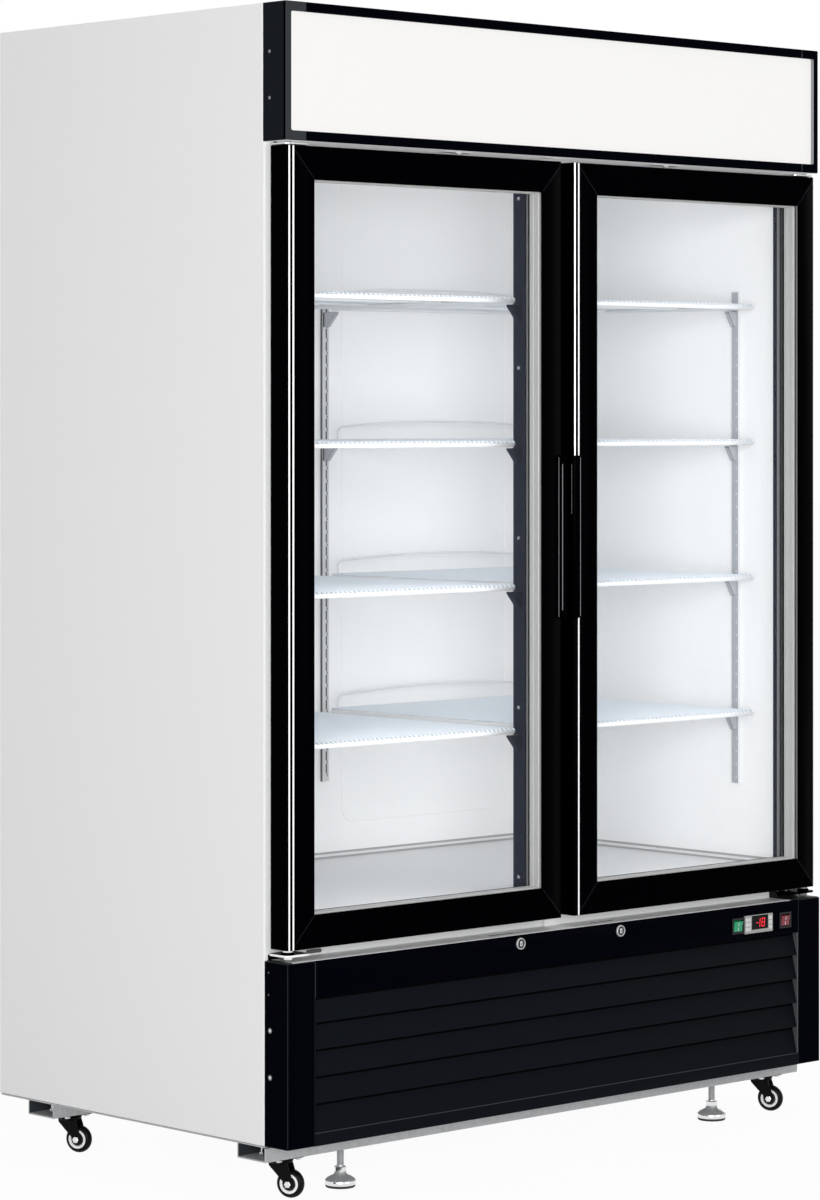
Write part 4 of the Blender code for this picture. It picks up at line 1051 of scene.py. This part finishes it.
def build_bottom_hinges():
    # The left hinge gets white plate edges and chrome pins, the right one black plate edges and dull pins.
    finishes = {"left": [GLOSS, HUB, CHROME], "right": [GLOSS, GLOSS, DULL]}
    for word, side in SIDES.items():
        foot = (from_side(side, PIVOT_INSET), behind(PIVOT_DEPTH), 0)
        low_x, high_x = sorted((from_side(side, 0.006), from_side(side, 0.060)))
        outline = rounded(low_x, high_x, behind(0.008), behind(FRAME_FACE - GAP), 0.007)
        plate = prism(outline, "z", 0.4245, 0.4285)
        paint(plate, 1, lambda normal, centre: abs(normal.z) < 0.5)
        flange = box((low_x, behind(FRAME_FACE - 0.004), 0.4172),
                     (high_x, behind(FRAME_FACE - GAP), 0.4262))
        nut = marked(hexagon(0.0085, 0.4185, 0.4243, foot), 2)
        bush = cylinder(0.0110, 0.4286, 0.4316, foot)
        shape = together([plate, flange, nut, bush])
        piece(f"hinge_plate_{word}", shape, finishes[word], replaces=[f"hinge_bottom_{word}"],
              bevel=0.0005)
        pins = [cylinder(0.009, 0.4317, DOOR_BOTTOM - GAP, foot, edge=0.0008),
                cylinder(0.005, 0.4287, DOOR_BOTTOM + 0.013, foot, edge=0.0006)]
        for inset in (0.036, 0.050):
            pins.append(screw((from_side(side, inset), behind(0.043), 0.4286), (0, 0, 1), 0.0045, 0.0022))
        piece(f"hinge_pins_{word}", together(pins), finishes[word][2])


# Canopy


def build_canopy():
    side_lip, lip, wall, recess = 0.0124, 0.0163, 0.004, 0.008
    front, back = behind(CANOPY_FRONT), behind(FRAME_BACK)
    x_range = (-HALF + SKIN_SIDE, HALF - SKIN_SIDE)
    z_range = (CANOPY_BOTTOM, HEIGHT)
    section = [(0, front + 0.001), (wall, front + 0.001), (wall, back), (0, back)]
    case = [marked(ring_bars(x_range, z_range, section))]
    for x in x_range:
        case.append(box((x, back, CANOPY_BOTTOM),
                        (x - math.copysign(wall, x), behind(CANOPY_LAP - GAP), HEIGHT)))
    piece("canopy_case", together(case), CANOPY, replaces=["canopy_frame"],
          bevel=0.0006)
    reach = 0.0465
    rails = []
    for low, high in ((CANOPY_BOTTOM, CANOPY_BOTTOM + lip), (HEIGHT - lip, HEIGHT)):
        rails.append(box((-HALF + reach, front, low), (HALF - reach, front + recess, high)))
    piece("canopy_rails", together(rails), SATIN, bevel=0.0014, segments=3)
    for word, side in SIDES.items():
        fillet = 0.004
        outline = [(0, 0), (reach - GAP, 0), (reach - GAP, lip)]
        outline += arc((side_lip + fillet, lip + fillet), fillet, 270, 180, 4)
        height = HEIGHT - CANOPY_BOTTOM
        outline += arc((side_lip + fillet, height - lip - fillet), fillet, 180, 90, 4)
        outline += [(reach - GAP, height - lip), (reach - GAP, height), (0, height)]
        outline = [(from_side(side, SKIN_SIDE + a), CANOPY_BOTTOM + b) for a, b in outline]
        shape = prism(outline, "y", front - 0.0004, front + recess)
        # The left end is painted dark grey all over, and the right end black with its inner faces in a
        # light grey painted highlight: lit and shaded copies of one end piece.
        paint(shape, 1, lambda normal, centre, side=side: normal.x * side < -0.5)
        finish = [END_GREY, END_GREY] if side < 0 else [SATIN, HIGHLIGHT_GREY]
        piece(f"canopy_end_{word}", shape, finish, bevel=0.0016, segments=3)
        screws = []
        for z in (1.9622, 1.8832):
            spot = (from_side(side, SKIN_SIDE), behind(0.0463), z)
            screws.append(screw(spot, (side, 0, 0), 0.0030, SKIN_SIDE * 0.9))
        piece(f"canopy_screws_{word}", together(screws), DULL)
    edge = wall + GAP
    sign = box((-HALF + SKIN_SIDE + edge, front + recess + GAP, CANOPY_BOTTOM + edge),
               (HALF - SKIN_SIDE - edge, front + recess + 0.004, HEIGHT - edge))
    piece("sign_face", sign, OPAL, replaces=["sign_panel"], bevel=0.0005)


# Lower fascia


def build_fascia():
    wall = 0.003
    skin = SKIN_SIDE
    for word, side in SIDES.items():
        outline = [(skin, 0), (COLUMN, 0), (COLUMN, wall), (skin + wall, wall), (skin + wall, FRAME_BACK),
                   (skin, FRAME_BACK)]
        outline = [(from_side(side, inset), behind(depth)) for inset, depth in outline]
        # The columns' bevelled corners get a painted highlight.
        piece(f"column_{word}", prism(outline, "z", FLOOR_CLEARANCE, FASCIA_TOP), [SATIN, CORNER_HIGHLIGHT],
              replaces=[f"fascia_column_{word}"], bevel=0.0014, segments=3, edge=1)
        # The rings round the larger screws and the small screw heads are painted grey shade, standing for
        # recesses and holes.
        heads, rings = [], []
        for z in (0.2986, 0.2187):
            spot = (from_side(side, skin), behind(0.0451), z)
            heads.append(screw(spot, (side, 0, 0), 0.0030, SKIN_SIDE * 0.95))
            rings.append(washer(spot, (side, 0, 0), 0.0032, 0.0050, SKIN_SIDE * 0.5))
        for z in (0.3968, 0.3591):
            spot = (from_side(side, skin), behind(0.049), z)
            rings.append(screw(spot, (side, 0, 0), 0.0016, SKIN_SIDE * 0.4))
        piece(f"column_screws_{word}", together(heads), STEEL)
        piece(f"column_shaded_rings_{word}", together(rings), SHADE)
    shape = cad_copy("grille_panel")
    paint(shape, 1, lambda normal, centre: centre.z > LOUVRE_TOP + 0.001)
    piece("louvre_panel", shape, [CHARCOAL, SATIN], replaces=["grille_panel"],
          bevel=0.0006)
    build_louvre_trim()


def build_louvre_trim():
    """Black painted shadow strips above the blades, end plates beside them with the right one painted
    lighter as a highlight, and grey painted highlight lines on the edges of the flat panels.
    """
    reach = HALF - COLUMN - GAP
    first = LOUVRE_TOP - LOUVRE_FIRST
    tops = [LOUVRE_TOP] + [first - LOUVRE_PITCH * number for number in range(LOUVRE_COUNT - 1)]
    slope = (LOUVRE_SETBACK - 0.002) / LOUVRE_PITCH
    gaps = []
    for top in tops:
        outline = []
        for drop, forward in ((0.0012, 0.0004), (0.0060, 0.0004), (0.0060, -0.001), (0.0012, -0.001)):
            outline.append((behind(LOUVRE_SETBACK - slope * drop - forward), top - drop))
        gaps.append(prism(outline, "x", -reach + 0.0015, reach - 0.0015))
    piece("louvre_gap_shadows", together(gaps), SHADOW_BLACK)
    # Thin strips along the bottom panel's top edge and the top panel's left edge are grey painted highlight
    # lines.
    face = behind(-0.0002)
    edges = [box((-reach, face, LOUVRE_FOOT - 0.0014), (reach, behind(0.0012), LOUVRE_FOOT + 0.0003)),
             box((-reach, face, LOUVRE_TOP), (-reach + 0.0012, behind(0.001), FASCIA_TOP - 0.001))]
    piece("panel_edge_highlights", together(edges), END_GREY, bevel=0.0002)
    for word, side in SIDES.items():
        end = side * reach
        plate = box((end, behind(0.0004), FLOOR_CLEARANCE + 0.004),
                    (end - side * 0.0014, behind(0.0195), LOUVRE_TOP + 0.001))
        # The right end plate is painted lighter as a highlight; the left one stays charcoal.
        finish = CHARCOAL if side < 0 else END_PLATE_HIGHLIGHT
        piece(f"louvre_end_{word}", plate, finish, bevel=0.0002)


def build_locks():
    for word, side in SIDES.items():
        x = side * LOCK_OFFSET
        middle = (x, FRONT, LOCK_HEIGHT)
        radius = LOCK_RADIUS
        profile = [(0, 0.010), (radius, 0.010), (radius, -0.0008), (radius - 0.0004, -0.0022),
                   (radius - 0.0010, -0.0030), (radius - 0.0018, -0.0030), (radius - 0.0022, -0.0022),
                   (radius - 0.0024, -0.0002), (0, -0.0002)]
        barrel = turned(profile, middle, "y", 36)
        shaft = cylinder(0.0062, 0.0095, 0.0295, middle, "y")
        cam = prism(rounded(x - 0.050, x + 0.0085, LOCK_HEIGHT - 0.008, LOCK_HEIGHT + 0.008, 0.0075), "y",
                    behind(0.028), behind(0.031))
        nut = hexagon(0.008, 0.0310, 0.0350, middle, "y")
        piece(f"lock_{word}_barrel", together([barrel, shaft, cam, nut]), PLATED, f"{word}_lock",
              [f"lock_{word}"], bevel=0.0002)
        profile = [(0, 0), (0.0076, 0), (0.0076, -0.0012), (0.0068, -0.0018), (0, -0.0018)]
        plug = turned(profile, middle, "y", 32)
        piece(f"lock_{word}_plug", plug, END_GREY, f"{word}_lock")
        keyway = []
        edge, end = 0.0010, 0.0042
        for near, far, low, high in ((-0.0026, -edge, -end, end), (edge, 0.0028, -end, end),
                                     (-edge, edge, 0.0020, end), (-edge, edge, -end, -0.0030)):
            keyway.append(box((x + near, behind(-0.0021), LOCK_HEIGHT + low),
                              (x + far, behind(0.001), LOCK_HEIGHT + high)))
        piece(f"lock_{word}_keyway", together(keyway), CHROME, f"{word}_lock")


SEGMENTS = {"-": "g", "1": "bc", "8": "abcdefg"}


def digit_bars(character, left, low, width, height, y):
    """Seven-segment bars for one character, leaning a little to the right."""
    thick = 0.0013
    lean = Matrix()
    lean[0][2] = 0.10
    highlights = {"a": ((0, height), (width, height)), "b": ((width, height), (width, height / 2)),
             "c": ((width, height / 2), (width, 0)), "d": ((0, 0), (width, 0)),
             "e": ((0, 0), (0, height / 2)), "f": ((0, height / 2), (0, height)),
             "g": ((0, height / 2), (width, height / 2))}
    bars = []
    for letter in SEGMENTS[character]:
        (x0, z0), (x1, z1) = highlights[letter]
        low_corner = (min(x0, x1) - thick / 2, y, min(z0, z1) - thick / 2)
        high_corner = (max(x0, x1) + thick / 2, y + 0.0003, max(z0, z1) + thick / 2)
        bars.append(moved(box(low_corner, high_corner), Matrix.Translation((left, 0, low)) @ lean))
    return bars


def build_controller():
    x, z = CONTROLLER
    half_x, half_z = CONTROLLER_HALF
    face = behind(-0.0038)
    outline = rounded(x - half_x, x + half_x, z - half_z, z + half_z, 0.003, 4)
    window = (x - 0.0205, x + 0.0262, z - 0.0105, z + 0.0158)
    shape = slotted([x - half_x, window[0], window[1], x + half_x],
                    [z - half_z, window[2], window[3], z + half_z], lambda i, j: i == 1 and j == 1, 0.0034)
    moved(shape, stood_up(face))
    case = box((x - 0.0355, behind(-0.0003), z - 0.0145), (x + 0.0355, behind(0.060), z + 0.0145))
    base = prism(outline, "y", behind(-0.0006), behind(-GAP))
    piece("controller_bezel", together([shape, base, case]), SILVER, replaces=["controller"],
          bevel=0.0008, segments=3)
    pane = box((window[0] + 0.0002, face + 0.0005, window[2] + 0.0002),
               (window[1] - 0.0002, behind(-0.0008), window[3] - 0.0002))
    piece("controller_window", pane, WINDOW, bevel=0.0002)
    bars = []
    left, low, height, y = x - 0.003, z - 0.0055, 0.0148, face + 0.0002
    for character, start, width in (("-", left - 0.005, 0.0045), ("1", left - 0.0010, 0.0060),
                                    ("8", left + 0.0105, 0.0075)):
        bars += digit_bars(character, start, low, width, height, y)
    piece("display_digits", together(bars), DIGIT)
    keys = []
    for low_x, high_x, count in ((x - 0.0372, x - 0.0224, 4), (x + 0.0280, x + 0.0376, 3)):
        pitch = (high_x - low_x) / count
        for column in range(count):
            start = low_x + pitch * column
            for row in range(3):
                bottom = z - 0.0125 + row * 0.0090
                outline = rounded(start, start + pitch * 0.45, bottom, bottom + 0.0074, 0.0007, 3)
                keys.append(prism(outline, "y", face - 0.0002, face + 0.001))
    piece("controller_keys", together(keys), MARK)


def build_switches():
    lenses = {"green": [GREEN, DEEP_GREEN], "red": [DEEP_RED, RED]}
    for word, x in SWITCHES.items():
        bezel = slotted([x - 0.0165, x - 0.0128, x + 0.0128, x + 0.0165],
                        [SWITCH_Z - 0.0150, SWITCH_Z - 0.0115, SWITCH_Z + 0.0115, SWITCH_Z + 0.0150],
                        lambda i, j: i == 1 and j == 1, 0.0018)
        moved(bezel, stood_up(behind(-0.0018)))
        piece(f"switch_bezel_{word}", bezel, MOULDED, bevel=0.0005)
        shape = cad_copy(f"rocker_{word}")
        paint(shape, 1, lambda normal, centre, x=x: centre.x > x + 0.0005)
        marks = []
        for face in shape.faces:
            centre = face.calc_center_median()
            if face.normal.y < -0.7 and face.calc_area() > 5e-5:
                across = 1 if centre.x > x else -1
                marks.append((centre.copy(), face.normal.copy(), across))
        piece(f"switch_rocker_{word}", shape, lenses[word], f"{word}_rocker", [f"rocker_{word}"],
              bevel=0.0006, segments=3)
        signs = []
        for centre, normal, across in marks:
            if across < 0:
                sign = box((-0.0005, -0.0030, -0.0002), (0.0005, 0.0030, 0.0002))
            else:
                sign = turned([(0.0020, -0.0002), (0.0029, -0.0002), (0.0029, 0.0002), (0.0020, 0.0002)],
                              sides=24, closed=True)
            signs.append(moved(sign, facing(centre, normal)))
        if signs:
            piece(f"switch_signs_{word}", together(signs), MARK, f"{word}_rocker")


# Underside


def build_rails():
    for word, front in RAIL_FRONTS.items():
        shape = cad_copy(f"chassis_rail_{word}")
        near, far = behind(front) + 0.001, behind(front + RAIL_DEPTH) - 0.001
        # Faces inside the channel are painted dark grey shade.
        paint(shape, 1, lambda normal, centre, near=near, far=far: abs(normal.x) < 0.5 and normal.z < 0.5
              and near < centre.y < far and RAIL_BOTTOM + 0.001 < centre.z < RAIL_TOP - 0.001)
        piece(f"rail_{word}", shape, [ZINC, END_GREY], replaces=[f"chassis_rail_{word}"],
              bevel=0.0005)
        middle = behind(front + RAIL_DEPTH / 2)
        bolts, plates = [], []
        for side in SIDES.values():
            x = from_side(side, CASTER_INSET)
            for dx in (-0.022, 0.022):
                for dy in (-0.022, 0.022):
                    spot = (x + dx, middle + dy, 0)
                    bolts.append(cylinder(0.003, RAIL_BOTTOM - 0.0055, RAIL_BOTTOM + 0.016, spot, sides=12))
                    bolts.append(hexagon(0.0058, RAIL_BOTTOM + 0.0026, RAIL_BOTTOM + 0.0072, spot))
                    bolts.append(hexagon(0.0055, RAIL_BOTTOM - 0.0062, RAIL_BOTTOM - 0.0026, spot))
            outline = rounded(x - 0.0305, x + 0.0305, middle - 0.0305, middle + 0.0305, 0.006)
            plates.append(prism(outline, "z", RAIL_BOTTOM - 0.0027, RAIL_BOTTOM - 0.0001))
        piece(f"rail_{word}_bolts", together(bolts), STEEL)
        piece(f"rail_{word}_caster_plates", together(plates), FORK, bevel=0.0004)
    shape = cad_copy("base_pan")
    piece("base_pan_sheet", shape, ZINC, replaces=["base_pan"], bevel=0.0004)


def build_caster(word, swivel):
    world = Matrix.Translation(swivel) @ Matrix.Rotation(CASTER_TURN, 4, "Z")
    low, high = RAIL_BOTTOM - 0.0125, RAIL_BOTTOM - 0.0038
    head = turned([(0, low), (0.019, low), (0.0225, low + 0.0025), (0.0230, low + 0.0055),
                   (0.0200, low + 0.0069), (0.0195, high), (0, high)], sides=40)
    parts = [head]
    inner, outer = 0.0105, 0.0130
    leg = [(-0.016, low + 0.0025), (0.018, low + 0.0025), (CASTER_TRAIL + 0.0085, 0.030)]
    leg += arc((CASTER_TRAIL, 0.025), 0.0085, 0, -180, 8)
    leg += [(CASTER_TRAIL - 0.0105, 0.030), (-0.016, low - 0.0035)]
    for face in (-1, 1):
        parts.append(prism(leg, "y", *sorted((face * inner, face * outer))))
    parts.append(box((-0.0165, -outer, low), (0.0185, outer, low + 0.0027)))
    shape = moved(together(parts), world)
    piece(f"fork_{word}", shape, FORK, f"{word}_caster", [f"caster_fork_{word}"],
          bevel=0.0006)
    hub = (CASTER_TRAIL, 0, WHEEL_RADIUS)
    axle = [cylinder(0.0038, -outer - 0.0030, outer + 0.0030, hub, "y", 20)]
    for face in (-1, 1):
        near, far = sorted((face * outer, face * (outer + 0.0034)))
        axle.append(hexagon(0.0062, near, far, hub, "y"))
    piece(f"axle_{word}", moved(together(axle), world), CHROME, f"{word}_caster",
          bevel=0.0003)
    seat, edge = 0.0172, 0.0088
    tread = [(seat, -edge)]
    for degrees in range(20, 161, 14):
        angle = math.radians(degrees)
        tread.append((seat + 0.0078 * math.sin(angle), -0.0090 * math.cos(angle)))
    tread.append((seat, edge))
    wheel = turned(tread, hub, "y", 48, closed=True)
    piece(f"tyre_{word}", moved(wheel, world), TYRE, f"{word}_wheel", [f"caster_wheel_{word}"])
    rim = [(0.0120, -0.0078), (0.0130, -0.0092), (0.0168, -0.0092), (0.0174, -0.0080), (0.0174, 0.0080),
           (0.0168, 0.0092), (0.0130, 0.0092), (0.0120, 0.0078)]
    piece(f"rim_{word}", moved(turned(rim, hub, "y", 48, closed=True), world), HUB, f"{word}_wheel")
    boss = [(0.0043, -0.0090), (0.0075, -0.0090), (0.0085, -0.0074), (0.0121, -0.0070), (0.0121, 0.0070),
            (0.0085, 0.0074), (0.0075, 0.0090), (0.0043, 0.0090)]
    piece(f"boss_{word}", moved(turned(boss, hub, "y", 40, closed=True), world), MOULDED, f"{word}_wheel")


def build_foot(word, centre):
    body = f"{word}_foot"
    pad = [(0, 0.0042), (0.0262, 0.0042), (0.0270, 0.0056), (0.0270, 0.0116), (0.0260, 0.0132),
           (0.0232, 0.0158), (0.0190, 0.0182), (0.0146, 0.0202), (0.0114, 0.0222), (0.0098, 0.0262),
           (0, 0.0262)]
    stud = [(0, 0.026), (0.0058, 0.026)]
    turns = 30
    for step in range(turns):
        z = 0.0380 + (0.0795 - 0.0380) * step / turns
        stud += [(0.0062, z), (0.0057, z + 0.0007)]
    stud += [(0.0056, 0.0800), (0, 0.0800)]
    pad = turned(pad, centre, sides=48)
    # The pad's vertical rim is given chrome as a painted highlight band against the satin dome.
    paint(pad, 1, lambda normal, place: place.z < 0.0118 and abs(normal.z) < 0.5)
    shapes = [pad, turned(stud, centre, sides=20), marked(hexagon(0.0110, 0.0258, 0.0360, centre), 1)]
    piece(f"foot_{word}", together(shapes), [PLATED, CHROME], body, [f"levelling_foot_{word}"],
          smooth=40)
    sole = [(0, 0), (0.0252, 0), (0.0262, 0.0012), (0.0264, 0.0044), (0, 0.0044)]
    piece(f"foot_{word}_sole", turned(sole, centre, sides=48), RUBBER, body)


def build_underside():
    build_rails()
    for word, front in RAIL_FRONTS.items():
        middle = behind(front + RAIL_DEPTH / 2)
        lift = FRONT_WHEEL_LIFT if word == "front" else 0.0
        for side_word, side in SIDES.items():
            build_caster(f"{word}_{side_word}", (from_side(side, CASTER_INSET), middle, lift))
    for word, side in SIDES.items():
        build_foot(word, (from_side(side, FOOT_INSET), behind(RAIL_FRONTS["front"] + RAIL_DEPTH / 2), 0))


# Machinery


def build_machinery():
    for node, finish in (("ceiling_panel", LINER), ("evaporator", FINS), ("condenser", FINS),
                         ("compressor", ENAMEL), ("evaporator_fan", MOULDED), ("condenser_fan", MOULDED)):
        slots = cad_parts[node].data.materials
        slots.clear()
        slots.append(finish)
    rings = []
    y, z = behind(0.300), CEILING - 0.0035
    for radius in (0.024, 0.042, 0.060, 0.078, 0.096, 0.108):
        points = [(a, y + b, z) for a, b in arc((0, 0), radius, 0, 350, 35)]
        rings.append(tube(points, 0.0013, 6, loop=True))
    for angle in (45, 135, 225, 315):
        a, b = math.cos(math.radians(angle)), math.sin(math.radians(angle))
        ends = [(radius * a, y + radius * b, z + 0.002) for radius in (0.020, 0.112)]
        rings.append(tube(ends, 0.0016, 6))
    piece("fan_guard", together(rings), WIRE, smooth=50)


# Stage


def white_when_seen(nodes, links, lit, white, output):
    """Uses the white shader where a camera, glossy or transmission ray looks, and the lit one elsewhere."""
    rays = nodes.new("ShaderNodeLightPath")
    seen = rays.outputs["Is Camera Ray"]
    for label in ("Is Glossy Ray", "Is Transmission Ray"):
        either = nodes.new("ShaderNodeMath")
        either.operation = "MAXIMUM"
        links.new(seen, either.inputs[0])
        links.new(rays.outputs[label], either.inputs[1])
        seen = either.outputs["Value"]
    pick = nodes.new("ShaderNodeMixShader")
    links.new(seen, pick.inputs["Fac"])
    links.new(lit, pick.inputs[1])
    links.new(white, pick.inputs[2])
    links.new(pick.outputs["Shader"], output.inputs["Surface"])


def build_stage():
    shape = bmesh.new()
    bmesh.ops.create_grid(shape, x_segments=1, y_segments=1, size=40.0)
    mesh = bpy.data.meshes.new("floor")
    shape.to_mesh(mesh)
    shape.free()
    floor = bpy.data.objects.new("floor", mesh)
    bpy.context.scene.collection.objects.link(floor)
    made = bpy.data.materials.new("pale_floor")
    made.use_nodes = True
    nodes, links = made.node_tree.nodes, made.node_tree.links
    shader = nodes["Principled BSDF"]
    shader.inputs["Base Color"].default_value = (0.70, 0.70, 0.70, 1.0)
    shader.inputs["Roughness"].default_value = 0.9
    shader.inputs["Specular IOR Level"].default_value = 0.0
    glow = nodes.new("ShaderNodeEmission")
    glow.inputs["Color"].default_value = (1, 1, 1, 1)
    glow.inputs["Strength"].default_value = 1.0
    shadowed = nodes.new("ShaderNodeMixShader")
    shadowed.inputs["Fac"].default_value = 0.955
    links.new(shader.outputs["BSDF"], shadowed.inputs[1])
    links.new(glow.outputs["Emission"], shadowed.inputs[2])
    white_when_seen(nodes, links, shader.outputs["BSDF"], shadowed.outputs["Shader"],
                    nodes["Material Output"])
    mesh.materials.append(made)


def build_world():
    world = bpy.data.worlds.new("studio")
    bpy.context.scene.world = world
    world.use_nodes = True
    nodes, links = world.node_tree.nodes, world.node_tree.links
    nodes.clear()
    output = nodes.new("ShaderNodeOutputWorld")
    room = nodes.new("ShaderNodeBackground")
    room.inputs["Color"].default_value = (1, 1, 1, 1)
    room.inputs["Strength"].default_value = 0.48
    white = nodes.new("ShaderNodeBackground")
    white.inputs["Color"].default_value = (1, 1, 1, 1)
    white.inputs["Strength"].default_value = 1.0
    white_when_seen(nodes, links, room.outputs["Background"], white.outputs["Background"], output)


def lamp(name, place, aim, size, power, colour=(1, 1, 1)):
    data = bpy.data.lights.new(name, "AREA")
    data.shape = "RECTANGLE"
    data.size, data.size_y = size
    data.energy = power
    data.color = colour
    item = bpy.data.objects.new(name, data)
    item.location = place
    item.rotation_euler = (Vector(aim) - Vector(place)).to_track_quat("-Z", "Y").to_euler()
    item.visible_camera = False
    item.visible_transmission = False
    bpy.context.scene.collection.objects.link(item)
    return item


def build_lamps():
    lamp("key_softbox", (-5.0, -5.3, 1.5), (0.0, 0.0, 1.05), (3.6, 2.6), 300)
    lamp("left_fill", (-5.0, -0.6, 1.6), (-0.685, 0.0, 1.0), (3.0, 2.6), 16)
    lamp("front_fill", (0.8, -6.0, 1.4), (0.0, -0.3, 1.0), (3.0, 2.4), 50)
    lamp("top_softbox", (0.2, -1.2, 4.6), (0.0, 0.0, 1.2), (3.0, 3.0), 50)
    lamp("right_softbox", (4.6, 0.8, 1.8), (0.6, 0.0, 1.1), (2.6, 2.6), 60)
    bay_x, bay_z = 0.330, 1.125
    for side, power in ((-1, 1.35), (1, 1.00)):
        middle = (side * bay_x, behind(0.066), bay_z)
        inward = (side * bay_x, behind(0.70), bay_z)
        portal = lamp(f"bay_light_{side}", middle, inward, (0.44, 1.24), power, (1.0, 0.992, 0.990))
        portal.visible_glossy = False


def build_camera():
    data = bpy.data.cameras.new("camera")
    data.sensor_width = 36.0
    data.lens = 118.606
    data.shift_y = -0.154
    data.clip_end = 200.0
    item = bpy.data.objects.new("camera", data)
    item.location = (-5.117, -5.399, 1.344)
    item.rotation_euler = (math.radians(90), 0, math.radians(-43.313))
    bpy.context.scene.collection.objects.link(item)
    bpy.context.scene.camera = item


def main():
    build_shell()
    build_front_frame()
    build_mullion()
    build_pilasters()
    build_shelves()
    build_doors()
    build_bottom_hinges()
    build_canopy()
    build_fascia()
    build_locks()
    build_controller()
    build_switches()
    build_underside()
    build_machinery()
    build_stage()
    build_world()
    build_lamps()
    build_camera()
    bpy.context.scene.view_settings.view_transform = "Standard"


main()
